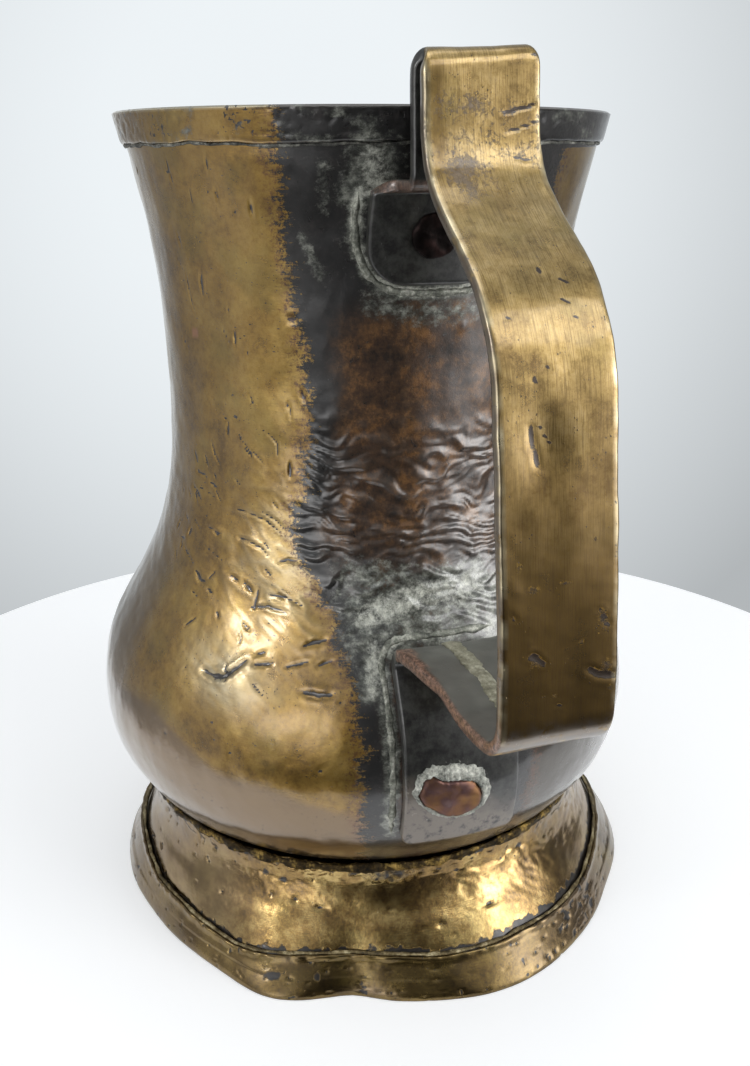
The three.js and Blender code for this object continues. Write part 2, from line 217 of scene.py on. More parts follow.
def lengths(path):
    """The length of a path up to each of its points."""
    steps = np.linalg.norm(np.diff(path, axis=0), axis=1)
    return np.concatenate([[0], np.cumsum(steps)])


def resample(path, count, density=None):
    """Count points along a path, closer together where density is high."""
    along = lengths(path)
    weight = np.ones(len(path)) if density is None else density
    filled = np.concatenate([[0], np.cumsum(np.diff(along) * (weight[1:] + weight[:-1]) / 2)])
    wanted = np.interp(np.linspace(0, filled[-1], count), filled, along)
    return np.stack([np.interp(wanted, along, column) for column in path.T], 1)


def outward(path):
    """Unit normals to the right of a path of radius and height."""
    along = np.gradient(path, axis=0)
    along /= np.linalg.norm(along, axis=1, keepdims=True)
    return np.stack([along[:, 1], -along[:, 0]], 1)


def line_place(x, y, line):
    """Distance from points to a line of corners, and the share of the line passed there."""
    line = np.array(line, float)
    passed = lengths(line)
    best = np.full(np.shape(x), np.inf)
    share = np.zeros(np.shape(x))
    for k, ((ax, ay), (bx, by)) in enumerate(zip(line[:-1], line[1:])):
        dx, dy = bx - ax, by - ay
        t = np.clip(((x - ax) * dx + (y - ay) * dy) / (dx * dx + dy * dy + 1e-9), 0, 1)
        distance = np.hypot(x - ax - t * dx, y - ay - t * dy)
        here = (passed[k] + t * (passed[k + 1] - passed[k])) / passed[-1]
        share = np.where(distance < best, here, share)
        best = np.minimum(best, distance)
    return best, share


def line_distance(x, y, line):
    return line_place(x, y, line)[0]


def between(table, place):
    """A value read off between the rows of a table."""
    return np.interp(place, *zip(*table))


def around(turn, radius, z):
    """Points by their angle about the axis, radius and height."""
    angle = np.radians(turn)
    rows = np.broadcast_arrays(radius * np.cos(angle), radius * np.sin(angle), z)
    return np.stack(rows, -1)


def circle(count):
    """Angles once round, in radians."""
    return np.linspace(0, 2 * math.pi, count, endpoint=False)


def revolve(section, turns):
    """Rows of points of a section of radius and height, turned about the axis."""
    return around(turns[None], section[:, :1], section[:, 1:])


# The vessel's wall
wall_line = spline(BODY_OUTLINE, 1600)
wall_normals = outward(wall_line)


def wall_radius(z):
    return np.interp(z, wall_line[:, 1], wall_line[:, 0])


def wall_normal(z):
    return [np.interp(z, wall_line[:, 1], part) for part in wall_normals.T]


def girth(z):
    """Millimetres along the wall for one degree."""
    return wall_radius(z) * math.pi / 180


def off_wall(turn, z, lift):
    """Points at a lift off the smooth wall."""
    nr, nz = wall_normal(z)
    return around(turn, wall_radius(z) + lift * nr, z + lift * nz)


def left_of_back(turn):
    """Fades what is on the left side out towards the middle of the back."""
    return smooth(-150, -110, turn)


# Nicks and creases of the wall: points as (degrees, height), half width, depth
CREASES = [
    ([(-53.6, 63.6), (-50.4, 63.2), (-47.5, 63.6), (-45.2, 65.3), (-43.5, 66.9)], 0.51, 0.52),
    ([(-41.5, 66.4), (-37.4, 67.2)], 0.37, 0.35),
    ([(-34.7, 66.8), (-31.6, 67.6), (-29.6, 68.2)], 0.27, 0.24),
    ([(-41.6, 68.1), (-39.4, 68.9)], 0.34, 0.21),
    ([(-31.4, 70.5), (-28.9, 71.3), (-26.1, 71.9)], 0.44, 0.28),
    ([(-28, 67.4), (-26.4, 68.1), (-24.8, 68.4)], 0.37, 0.24),
    ([(-30.9, 63.2), (-27.3, 62.9), (-24.4, 63.1)], 0.48, 0.32),
    ([(-47.1, 71.2), (-46, 70.3), (-46.2, 69.4)], 0.2, 0.17),
    ([(-45.6, 75.7), (-41, 76.4), (-37.9, 76), (-35.9, 75.8)], 0.27, 0.28),
    ([(-41.2, 78.3), (-37.1, 78.4), (-34, 77.6), (-32, 77)], 0.27, 0.28),
    ([(-52.6, 87.6), (-48.3, 87.2), (-44.6, 86.4), (-42.4, 85.2)], 0.24, 0.32),
    ([(-39.7, 84.4), (-37.3, 85), (-34.2, 84.8)], 0.34, 0.28),
    ([(-54.3, 92.9), (-49.2, 92.5), (-44.5, 91.7), (-40, 89.9)], 0.24, 0.21),
    ([(-45.5, 93.2), (-41.6, 92), (-38.6, 90.4)], 0.2, 0.17),
    ([(-45.6, 108.9), (-43.3, 108.1), (-41.3, 106.7), (-41.1, 104.3)], 0.19, 0.14),
    ([(-53.5, 106.8), (-51.2, 105.7), (-49.3, 104.2), (-49, 102.4)], 0.19, 0.14),
    ([(-71.1, 98), (-67.9, 97.7), (-66.4, 97.3)], 0.37, 0.24),
    ([(-72.9, 94.7), (-69.9, 93.8), (-68.1, 92.6)], 0.34, 0.28),
    ([(-65, 96.7), (-61.4, 95.9)], 0.34, 0.21), ([(-65.1, 94.4), (-62.1, 94)], 0.27, 0.21),
    ([(-75.1, 93.6), (-72.9, 92.2)], 0.24, 0.17), ([(-78.3, 85), (-77.6, 86)], 0.34, 0.21),
    ([(-70.9, 85), (-70.5, 86.5)], 0.41, 0.28), ([(-69.5, 88.6), (-65.7, 86.5)], 0.2, 0.17),
    ([(-64.5, 88.1), (-61, 87.7), (-58.5, 86.8)], 0.27, 0.24),
    ([(-65.1, 90.2), (-64.2, 89.9)], 0.27, 0.14),
    ([(-71.9, 82.4), (-69, 81.2), (-66.1, 80.1)], 0.24, 0.24),
    ([(-64.8, 79.3), (-62, 78), (-60.2, 77.8)], 0.48, 0.24),
    ([(-63.5, 84.3), (-56.4, 82.6)], 0.17, 0.17), ([(-52.6, 80.3), (-50.3, 79.8)], 0.34, 0.21),
    ([(-48.7, 79.7), (-47, 79), (-45.7, 78.2)], 0.34, 0.28),
    ([(-60, 71.3), (-62.6, 69.4)], 0.24, 0.17),
    ([(-64.2, 104.8), (-63, 102.3), (-60.5, 100.4)], 0.27, 0.24),
    ([(-59.1, 110.7), (-57, 109.3)], 0.31, 0.21), ([(-52.8, 126.9), (-52.7, 124.3)], 0.27, 0.24),
    ([(-52.6, 151.6), (-52.4, 149.8)], 0.27, 0.21), ([(-43.7, 149.7), (-43.6, 147.6)], 0.31, 0.21),
    ([(-53.3, 157.6), (-53.6, 154.5)], 0.24, 0.17), ([(-66.4, 153.9), (-66.7, 152.4)], 0.24, 0.14),
    ([(-62.7, 137), (-63.3, 134.6), (-63.5, 133)], 0.34, 0.24),
    ([(-69, 136.7), (-69.5, 132.4), (-68.8, 128.9)], 0.19, 0.17),
    ([(-60.5, 152.1), (-60.9, 149.1)], 0.17, 0.1), ([(-72, 138.9), (-70.5, 137.2)], 0.2, 0.14),
    ([(-37.3, 130), (-34.3, 129.4)], 0.41, 0.21), ([(-34.4, 116.8), (-32.7, 114.8)], 0.41, 0.21),
    ([(-38.9, 114.4), (-37.3, 113.5), (-37.1, 111.4)], 0.24, 0.17),
    ([(-37.7, 103.2), (-37.6, 100.4)], 0.34, 0.21), ([(-55, 114.8), (-53.5, 115.3)], 0.27, 0.17)]
# Bulges and hollows of the wall: degrees, height, radius in mm, push outwards
BULGES = [
    (-42.6, 63.6, 3.4, 0.55), (-47, 61, 4, 0.25), (-46.5, 86, 3, 0.45), (-39.5, 82.5, 4, 0.45),
    (-52, 90, 5, -0.25), (-45, 74, 4, -0.3), (-66, 127, 7, -0.8), (-60, 101, 6, -0.3),
    (-70, 90, 5, 0.25), (-34, 73, 4, 0.3), (-56, 70, 6, -0.25), (-22.1, 153.4, 0.5, 0.35),
    (-11.4, 85, 0.4, 0.4), (-8.6, 134.2, 0.8, 0.4), (7.5, 128, 0.7, 0.3)]

# Where the dark patina of the soldering fire begins on the left and ends on the right:
# height, degrees
DARK_LEFT = [
    (20, -17.4), (36.4, -18.4), (45.5, -18.7), (53.4, -18.8), (59.1, -19.6), (64.3, -20.6),
    (67.6, -21.8), (71.9, -23.9), (75, -24.8), (79, -28.8), (81.8, -28.8), (83.8, -33),
    (88.8, -36.8), (92.4, -36.8), (94.6, -37.2), (97, -33.5), (104, -33), (114, -32.2), (121, -33),
    (128, -33.4), (133.2, -34.5), (139.4, -36.2), (151.1, -36.2), (158, -36), (165, -35)]
DARK_RIGHT = [
    (20, 12), (36, 14), (47, 14.6), (60, 18), (80, 27), (95, 30), (120, 31), (140, 31),
    (158.5, 33), (159.5, 95), (165, 100)]

# Lines of the solder around the ears: side, height
EAR_BEAD = [
    (-15, 151.5), (-15.4, 148), (-15.1, 143.5), (-12.8, 138), (-8.4, 135), (-1, 134.4), (6, 134.8),
    (10.6, 137.6), (13.2, 143.5), (13, 150)]
FOLD_BEAD = [
    (10, 72), (0, 72.2), (-10, 71.8), (-12.9, 69), (-13.4, 63), (-13.5, 52), (-13.6, 42),
    (-13.4, 35)]
# Smears of solder on the wall: line of (side, height), half width, amount
SMEARS = [
    ([(-11.5, 152), (-13, 157)], 4.2, 0.8), ([(-17, 151), (-15.5, 158)], 2.4, 0.5),
    ([(-24.5, 144), (-22.4, 140.5), (-20.8, 137)], 1, 0.55),
    ([(-21.3, 156), (-20.6, 149)], 1.6, 0.35), ([(-12, 132.5), (-2, 130.5), (8, 131)], 2.6, 0.42),
    ([(-14.6, 66), (-14.2, 52), (-14.6, 38)], 1.2, 0.62),
    ([(-15, 76), (-4, 79), (8, 80)], 4.6, 0.8), ([(-14, 71), (-16, 64)], 2.6, 0.85)]


def ear_cover(turn, z):
    """1 where the strap's ears lie on the wall, fading over 4 mm around them."""
    side = turn * girth(z)
    cover = np.zeros(np.shape(turn))
    for ear in (LOWER_EAR, UPPER_EAR):
        over = np.maximum(np.abs(side - ear["shift"]) - ear["half"], 0)
        above = np.maximum(np.maximum(ear["end"] - z, z - ear["top"] - 6), 0)
        cover = np.maximum(cover, 1 - smooth(0, 4, np.hypot(over, above)))
    return cover


def random_nicks(count, turns, heights, seed):
    """Nicks scattered over a range of degrees and of heights, like the rows of CREASES."""
    draws = np.random.default_rng(seed)
    nicks = []
    for _ in range(count):
        turn = draws.uniform(*turns)
        z = draws.uniform(*heights)
        length = draws.uniform(0.4, 3.4)
        slant = draws.normal(-0.7, 0.45)
        end = (turn + math.cos(slant) * length / girth(z), z + math.sin(slant) * length)
        nicks.append(([(turn, z), end], draws.uniform(0.18, 0.34), draws.uniform(0.08, 0.22)))
    return nicks


NICKS = CREASES + (
    random_nicks(26, (-80, -38), (72, 112), 3) + random_nicks(14, (-88, -40), (108, 158), 5)
    + random_nicks(16, (-70, -22), (44, 74), 8) + random_nicks(40, (50, 270), (70, 158), 11)
    + random_nicks(30, (30, 270), (34, 74), 13))


def dark_margin(turn, z):
    """Millimetres inside the burnt patch, negative outside it."""
    left = (turn - between(DARK_LEFT, z)) * girth(z)
    right = (between(DARK_RIGHT, z) - turn) * girth(z)
    return np.clip(np.minimum(left, right), -30, 30)


def body_relief(turn, z):
    """Relief of the hammered wall off its outline, its dirt, and its wear and painted highlights.
    """
    place = around(turn, wall_radius(z), z)
    side = turn * girth(z)
    relief = 0.3 * NOISE.over(place, 27) + 0.15 * NOISE.over(place, (10, 10, 12))
    relief += 0.05 * NOISE.over(place, 3.4, 2) + 0.12 * NOISE.over(place, (6, 6, 9))
    # Flowing wrinkles of the overheated metal behind the handle
    flow = 3 * NOISE.at(side / 16, z / 12, 3.3) + 2 * NOISE.at(side / 8, z / 6, 6.4)
    flow += 0.9 * NOISE.at(side / 4, z / 4, 9.1)
    layer = (z + 0.12 * side + flow) / 2.3 % 1
    broken = smooth(-0.15, 0.35, NOISE.at(side / 6, (z + flow) / 2.2, 4.4))
    broad = smooth(0, 0.24, layer) * (1 - smooth(0.24, 1, layer)) * broken
    small = ridges(FOLDS, side / 5, (z + 1.3 * flow) / 1.4, 7.5)
    burnt = smooth(-1, 3, dark_margin(turn, z))
    folded = burnt * smooth(60, 82, z) ** 2 * (1 - smooth(100, 119, z))
    wrinkle = 0.72 * broad + 0.28 * small
    fine = NOISE.layers(side / 3, z / 1.2, 5.2, 2)
    relief += folded * (0.74 * wrinkle - 0.2 + 0.08 * fine)
    # Slanting ridges on the bright shoulder
    u, v = side - 0.62 * z, z + 0.62 * side
    bend = 1.6 * NOISE.at(side / 11, z / 11, 5.5)
    slant = ridges(FOLDS, u / 7, (v + bend) / 3, 4.2)
    hair = ridges(FOLDS, u / 5, (v + bend) / 1.2, 2.9)
    bright = hump(turn, -40, 13) * hump(z, 83, 15) * (1 - burnt)
    strength = 0.6 + 0.8 * smooth(-0.2, 0.4, bend)
    relief += bright * (0.13 * slant + 0.06 * hair - 0.06) * strength
    lumps = hump(z, 84, 24) * smooth(38, 60, np.abs(turn + 5))
    relief += 0.1 * lumps * FOLDS.at(u / 6, v / 3, 1.7)
    # Pale crests, partly wear and partly painted glints, and painted highlight patches
    worn = 0.35 * bright * (slant + 0.4 * hair) + 0.8 * folded * wrinkle ** 3
    painted_highlight_patch = hump(side, -45.5, 8) * hump(z, 63.5, 5) + 0.25 * hump(side, -30, 5) * hump(z, 84, 8)
    painted_highlight_patch = painted_highlight_patch * (0.75 + 0.5 * FOLDS.layers(u / 5, v / 1.6, 8.8)) * (1 - burnt)
    worn = np.clip(worn + painted_highlight_patch, 0, 1)
    for middle, height, reach, push in BULGES:
        span = np.hypot((turn - middle) * girth(height), z - height)
        relief += push * hump(span, 0, reach)
    seam_dirt = 0.9 * (1 - smooth(23.8, 26, z + 0.7 * FOLDS.over(place, 2, 2)))
    dirt = seam_dirt.copy()
    ragged = 1 + 0.5 * FOLDS.over(place, 1.2, 2)
    for points, width, depth in NICKS:
        line = np.array(points, float)
        scale = girth(line[:, 1].mean())
        line[:, 0] *= scale
        low, high = line.min(0) - 4 * width - 1, line.max(0) + 4 * width + 1
        u = turn * scale
        near = (u > low[0]) & (u < high[0]) & (z > low[1]) & (z < high[1])
        distance, share = line_place(u[near], z[near], line)
        taper = 0.4 + 0.6 * np.sin(np.pi * share) ** 0.6
        core = hump(distance * ragged[near], 0, width * taper)
        relief[near] += depth * taper * (0.3 * hump(distance, 2.1 * width, width) - core)
        dirt[near] = np.maximum(dirt[near], core)
    calm = (1 - ear_cover(turn, z)) * (1 - smooth(156, 159.5, z)) * smooth(24, 28, z)
    return relief * calm, np.maximum(dirt * calm, seam_dirt), worn * calm


def on_wall(turn, z, height):
    """Points at a height above the worn wall."""
    return off_wall(turn, z, body_relief(turn, z)[0] + height)


# Meshes
def grid_faces(rows, columns, wrap=True, start=0):
    """Quads between rows of points; rows go up and columns turn to the left."""
    i, j = np.meshgrid(np.arange(rows - 1), np.arange(columns if wrap else columns - 1),
                       indexing="ij")
    next_j = (j + 1) % columns
    corners = [i * columns + j, i * columns + next_j,
               (i + 1) * columns + next_j, (i + 1) * columns + j]
    return (start + np.stack(corners, -1).reshape(-1, 4)).tolist()


def ring_faces(rows, columns):
    """The same, and the last row is joined to the first."""
    last = (rows - 1) * columns
    ends = [[last + k, last + (k + 1) % columns, (k + 1) % columns, k] for k in range(columns)]
    return grid_faces(rows, columns) + ends


def capped_faces(rows, columns):
    """The same, and the first and last row are closed."""
    last = (rows - 1) * columns
    first_row = list(range(columns))
    return grid_faces(rows, columns) + [first_row[::-1], [last + k for k in first_row]]


def volume(points, faces):
    total = 0
    for face in faces:
        a = points[face[0]]
        for b, c in zip(face[1:-1], face[2:]):
            total += np.dot(a, np.cross(points[b], points[c]))
    return total


def new_object(name, data):
    thing = bpy.data.objects.new(name, data)
    bpy.context.collection.objects.link(thing)
    return thing


def new_mesh(name, points, faces, marks):
    """A mesh with a number or a place per point for each mark."""
    points = points.reshape(-1, 3)
    mesh = bpy.data.meshes.new(name)
    mesh.from_pydata((points * MM + AXIS).tolist(), [], faces)
    for mark, values in marks.items():
        values = np.asarray(values, np.float32).ravel()
        kind, field = "FLOAT", "value"
        if len(values) > len(points):
            kind, field = "FLOAT_VECTOR", "vector"
        mesh.attributes.new(mark, kind, "POINT").data.foreach_set(field, values)
    return mesh


def make_piece(name, points, faces, material, node, marks=None):
    """A closed mesh that stands for a node."""
    points = np.clip(points.reshape(-1, 3), BOX_LOW, BOX_HIGH)
    # The small pieces may be built inside out; the large ones are built the right way
    if len(faces) <= 5000 and volume(points, faces) < 0:
        faces = [face[::-1] for face in faces]
    mesh = new_mesh(name, points, faces, marks or {})
    mesh.polygons.foreach_set("use_smooth", np.ones(len(mesh.polygons), bool))
    mesh.materials.append(material)
    piece = new_object(name, mesh)
    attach(piece, BODY)
    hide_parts(node)


def dense_turns(count):
    """Angles around the vessel, closest where nicks and wrinkles are."""
    turn = np.linspace(-180, 180, 7201)
    density = 0.38 + 0.62 * smooth(-118, -105, turn) * (1 - smooth(58, 70, turn))
    density += 0.67 * smooth(-92, -84, turn) * (1 - smooth(33, 42, turn))
    density += 1.36 * smooth(-84, -78, turn) * (1 - smooth(-28, -22, turn))
    filled = np.cumsum(density)
    return np.interp(np.linspace(filled[0], filled[-1], count, endpoint=False), filled, turn)


def unrolled(across, z):
    """Where points lie on the unrolled sheet, in mm, for grain and slanting nicks."""
    return np.stack(np.broadcast_arrays(across, z, 0), -1)


# Materials
def node_value(value):
    """A value for a socket; colours are written in sRGB, such as #bc9b4f."""
    if not isinstance(value, str):
        return value
    parts = [int(value[i:i + 2], 16) / 255 for i in (1, 3, 5)]
    linear = [p / 12.92 if p <= 0.04045 else ((p + 0.055) / 1.055) ** 2.4 for p in parts]
    return (*linear, 1)


class Field:
    """What a node gives out, to calculate with."""

    def __init__(self, shade, socket):
        self.shade, self.socket = shade, socket

    def __add__(self, other):
        return self.shade.math("ADD", self, other)

    def __sub__(self, other):
        return self.shade.math("SUBTRACT", self, other)

    def __rsub__(self, other):
        return self.shade.math("SUBTRACT", other, self)

    def __mul__(self, other):
        return self.shade.math("MULTIPLY", self, other)

    def __or__(self, other):
        """The larger of both."""
        return self.shade.math("MAXIMUM", self, other)

    def step(self, low, high):
        """0 below low, 1 above high, smooth between."""
        node = self.shade.new("MapRange")
        node.interpolation_type = "SMOOTHSTEP"
        inputs = {"Value": self, "From Min": low, "From Max": high}
        return self.shade.fill(node, inputs, "Result")

    def mix(self, a, b):
        """Colour a where this is 0, and b where it is 1."""
        node = self.shade.new("Mix")
        node.data_type = "RGBA"
        return self.shade.fill(node, {0: self, 6: a, 7: b}, 2)

    def blend(self, a, b):
        """The same for numbers."""
        return self.shade.fill(self.shade.new("Mix"), {0: self, 2: a, 3: b})

    def ramp(self, *stops):
        """Colours by pairs of value and colour."""
        node = self.shade.new("ValToRGB")
        elements = node.color_ramp.elements
        while len(elements) < len(stops):
            elements.new(0.5)
        for element, (position, color) in zip(elements, stops):
            element.position = position
            element.color = node_value(color)
        return self.shade.fill(node, {"Fac": self}, "Color")

    def scaled(self, x, y, turn=0):
        """This vector stretched, and turned by degrees."""
        inputs = {"Vector": self, "Rotation": (0, 0, math.radians(turn)), "Scale": (x, y, 1)}
        return self.shade.fill(self.shade.new("Mapping"), inputs)

    def dots(self, share, low, high):
        """Scattered spots, one in a share of the cells of this vector."""
        node = self.shade.new("TexVoronoi")
        middle = self.shade.fill(node, {"Vector": self, "Scale": 1}, "Distance")
        color = Field(self.shade, node.outputs["Color"])
        red = self.shade.fill(self.shade.new("SeparateColor"), {0: color})
        chosen = self.shade.math("GREATER_THAN", red, 1 - share)
        return (1 - middle.step(low, high)) * chosen


class Shade:
    """Builds the nodes of a new material or world."""

    def __init__(self, owner):
        owner.use_nodes = True
        self.owner = owner
        self.nodes, self.links = owner.node_tree.nodes, owner.node_tree.links
        self.shader = self.nodes.get("Principled BSDF") or self.nodes["Background"]
        self.coords = self.new("TexCoord").outputs

    def new(self, kind):
        return self.nodes.new("ShaderNode" + kind)

    def fill(self, node, inputs, output=0):
        """What a node gives out, with its inputs filled in."""
        for name, value in inputs.items():
            if isinstance(value, Field):
                self.links.new(value.socket, node.inputs[name])
            else:
                node.inputs[name].default_value = node_value(value)
        return Field(self, node.outputs[output])

    def math(self, operation, *values):
        node = self.new("Math")
        node.operation = operation
        return self.fill(node, dict(enumerate(values)))

    def mark(self, name, output="Fac"):
        node = self.new("Attribute")
        node.attribute_name = name
        return self.fill(node, {}, output)

    def noise(self, size, detail=3, roughness=0.55, vector=None, warp=0):
        """Noise with patches of a size in mm, or in units of a vector."""
        inputs = {
            "Vector": vector or Field(self, self.coords["Object"]),
            "Scale": 1 / (size if vector else size * MM),
            "Detail": detail, "Roughness": roughness, "Distortion": warp}
        return self.fill(self.new("TexNoise"), inputs, "Fac")

    def surface(self, color, metal, rough, *bumps):
        """Fills in the shader; each bump is a height from 0 to 1 and its depth in mm."""
        inputs = {"Base Color": color, "Metallic": metal, "Roughness": rough}
        below = {}
        for height, depth in bumps:
            node = self.new("Bump")
            below = {"Normal": self.fill(node, {"Distance": depth * MM, "Height": height, **below})}
        self.fill(self.shader, {**inputs, **below})
        return self.owner


def new_shade(name):
    return Shade(bpy.data.materials.new(name))


def brass(shade, light, middle, deep, dull, coat):
    """Worn brass: its colour and roughness under a thin coat."""
    cloud = shade.noise(4.5, 4, 0.65)
    grit = shade.noise(1.3, 7, 0.82)
    both = shade.noise(17, 4, 0.6) * 0.4 + cloud * 0.25 + grit * 0.35
    color = both.ramp((0.4, deep), (0.5, middle), (0.6, light))
    olive = shade.noise(12, 5).step(0.5, 0.66) * 0.3
    color = olive.mix(color, "#7d7139")
    grain = grit.step(0.54, 0.66) * 0.4
    color = grain.mix(color, deep)
    shade.fill(shade.shader, {"Coat Weight": coat, "Coat Roughness": 0.16, "Coat IOR": 1.75})
    return color, cloud * 0.22 + (dull - 0.24)


def brass_material(name, light, middle, deep, dull):
    """Plain worn brass with fine scratches, pits, and dirt and dullness where marked."""
    shade = new_shade(name)
    color, rough = brass(shade, light, middle, deep, dull, 0.4)
    # A muted tint where marked: painted reflection on foot and band, and the band's worn patches
    color = shade.mark("rosy").mix(color, "#7b6850")
    wall = shade.mark("wall", "Vector")
    scratches = shade.noise(1, 4, vector=wall.scaled(0.3, 5, -12))
    wobble = shade.noise(1.1, 4, 0.7) * 0.9
    pits = wall.scaled(1.1, 1.5, 20).dots(0.06, 0.08, 0.22) * shade.noise(9).step(0.45, 0.6)
    hollow = pits | (shade.mark("dirt") + wobble * 0.6).step(0.7, 0.95)
    ink = shade.noise(1.6, 4).ramp((0.4, "#17120e"), (0.62, "#2d2721"))
    color = hollow.mix(color, ink)
    return shade.surface(
        color, 1 - hollow * 0.6, rough + hollow * 0.2,
        (scratches, 0.018), (shade.noise(0.9), 0.03), (1 - hollow, 0.1))


def body_material():
    """Brass with a burnt patch behind the handle and smears of solder."""
    shade = new_shade("body_brass_worn")
    color, rough = brass(shade, "#bc9b4f", "#a27f38", "#775a27", 0.43, 0.9)
    wall = shade.mark("wall", "Vector")
    rosy, worn, inside = shade.mark("rosy"), shade.mark("worn"), shade.mark("inside")
    # Painted reflection of the white table, as a muted pinkish tint
    color = rosy.mix(color, "#7b6446")
    # Painted shade, a dark brown-grey
    color = (shade.mark("painted_shade") * 0.9).mix(color, "#3f382f")
    # Pale crests and patches: partly wear, partly painted highlights and glints
    color = (worn * 0.85).mix(color, "#dccfad")
    # Bright metal: brushing, slanting nicks and pits
    scratches = shade.noise(1, 6, 0.78, wall.scaled(0.5, 3.2, 28))
    nicks = wall.scaled(0.55, 1.6, 30).dots(0.16, 0.1, 0.2) * shade.noise(11).step(0.48, 0.62)
    pits = wall.scaled(1.8, 2.3).dots(0.16, 0.12, 0.28) * shade.noise(6).step(0.5, 0.56)
    dirt = (shade.mark("dirt") + shade.noise(0.9, 4, 0.7) * 0.8).step(0.92, 1.15)
    hollow = nicks | pits | dirt
    color = hollow.mix(color, shade.noise(2.5).ramp((0.42, "#1c1510"), (0.58, "#413d3d")))
    # Burnt patch with a speckled edge and a red-brown fringe
    spikes = shade.noise(1, 7, 0.82, wall.scaled(0.2, 1.2))
    crumbs = shade.noise(0.8, 4, 0.8)
    swing = spikes * 12 + shade.noise(5, 4, 0.6) * 7 + crumbs * 7
    edge = swing - 13 + shade.mark("dark")
    burnt = edge.step(-0.4, 0.4)
    fringe = edge.step(-3.4, -0.2) * crumbs.step(0.4, 0.6)
    color = (fringe * 0.8).mix(color, "#6a4532")
    mottle = shade.noise(2.6, 6, 0.75, warp=0.5)
    brown = shade.mark("brown") * mottle.step(0.24, 0.5)
    night = shade.noise(3, 6, 0.7).ramp((0.36, "#0f0e0e"), (0.55, "#1b1918"), (0.7, "#2f2b29"))
    rust = shade.noise(6, 8, 0.78).ramp((0.36, "#20150c"), (0.5, "#4a331f"), (0.62, "#80592f"))
    # Pale grey on the crests of the wrinkles: painted glints
    deep = (worn * 0.6).mix(brown.mix(night, rust), "#6f6963")
    color = burnt.mix(color, deep)
    # Smeared solder: a grey film with white powder in it
    powder = shade.noise(1.2, 7, 0.85)
    smear = shade.noise(1, 7, 0.72, wall.scaled(0.4, 0.5, -24))
    amount = shade.mark("crust") + smear * 0.9 + powder
    film, white = amount.step(1.12, 1.5), amount.step(1.5, 1.95)
    color = film.mix(color, smear.ramp((0.38, "#2e2f2b"), (0.5, "#5f615a"), (0.62, "#94968c")))
    color = white.mix(color, powder.ramp((0.35, "#8f9288"), (0.6, "#dcddd0")))
    color = shade.mark("spot").mix(color, "#b5835e")
    color = inside.mix(color, shade.noise(6, 5).ramp((0.35, "#3b3226"), (0.65, "#6c5c42")))
    metal = film.blend(burnt.blend(1 - hollow * 0.5, 0.35), 0.6)
    rough = burnt.blend(rosy.blend(rough, 0.2), mottle * 0.42 + 0.12)
    rough = white.blend(film.blend(rough, 0.38), 0.7)
    rugged = shade.noise(0.9, 6, 0.75) * (burnt | white)
    return shade.surface(
        color, white.blend(metal, 0.05), inside.blend(rough, 0.48),
        (scratches, 0.035), (shade.noise(2.2), 0.07), (1 - hollow, 0.1), (rugged, 0.14))


def strap_material():
    """Brushed brass, burnt on its inner face and ears, pitted below the hairpin."""
    shade = new_shade("handle_brass_worn")
    color, rough = brass(shade, "#ccb078", "#aa8e54", "#6e5527", 0.43, 0.6)
    strip = shade.mark("strip", "Vector")
    # Deeper gold low on the grip, partly painted shade
    color = shade.mark("golden").mix(color, "#684d0f")
    brushed = shade.noise(1, 5, 0.75, strip.scaled(5, 0.14))
    color = (brushed.step(0.46, 0.6) * 0.5).mix(color, "#5a431a")
    pores = shade.noise(0.7, 5, 0.8)
    eaten = (pores * 1.6 + shade.mark("pitted")).step(1.15, 1.5)
    color = (eaten * 0.8).mix(color, "#766a5f")
    pits = strip.scaled(2.4, 1.7).dots(0.3, 0.12, 0.3) * shade.noise(4, 4).step(0.54, 0.6)
    hollow = pits | (shade.mark("dirt") + pores * 0.6).step(0.66, 0.9)
    color = hollow.mix(color, "#3a2c20")
    mottle = shade.noise(2.4, 5, 0.7)
    tarnish = (shade.mark("tarnish") + mottle * 0.5).step(0.62, 0.88)
    soot = mottle.ramp((0.38, "#1a1a19"), (0.62, "#3d3d3a"))
    color = tarnish.mix(color, shade.mark("ash").mix(soot, "#7b7b73"))
    # Grey, partly a painted reflection of the table
    color = (shade.mark("grey") * mottle.step(0.3, 0.5)).mix(color, "#80766c")
    # Painted highlight along the grip's edges
    color = shade.mark("edge").mix(color, "#e0d2ac")
    copper, powder = shade.mark("copper"), shade.noise(0.8, 5, 0.75)
    rind = powder.ramp((0.38, "#4a362c"), (0.52, "#8a6956"), (0.66, "#b58d77"))
    color = copper.mix(color, rind)
    crust = (shade.mark("crust") + powder).step(1.05, 1.3)
    color = crust.mix(color, powder.ramp((0.35, "#67685f"), (0.65, "#c9c9bb")))
    metal = 1 - (tarnish | hollow * 0.6) * 0.7
    return shade.surface(
        color, crust.blend(metal, 0.2), tarnish.blend(rough, 0.4) + eaten * 0.15,
        (brushed, 0.014), (1 - hollow, 0.1), (pores * (eaten | crust | copper), 0.12))


def solder_material(name, dark, middle, light, metal=0.5):
    """Crumbly grey solder."""
    shade = new_shade(name)
    powder = shade.noise(0.7, 5, 0.75)
    both = powder * 0.5 + shade.noise(3, 4) * 0.5
    color = both.ramp((0.38, dark), (0.5, middle), (0.62, light))
    return shade.surface(color, metal, powder * 0.4 + 0.3, (powder, 0.12))


def copper_material(name, light, middle, deep):
    """Copper with brown tarnish and a few scratches."""
    shade = new_shade(name)
    cloud = shade.noise(3.6, 4, 0.5)
    fine = shade.noise(0.5)
    color = cloud.ramp((0.36, deep), (0.5, middle), (0.66, light))
    return shade.surface(color, cloud.step(0.2, 0.4), fine * 0.2 + 0.36, (fine, 0.04))


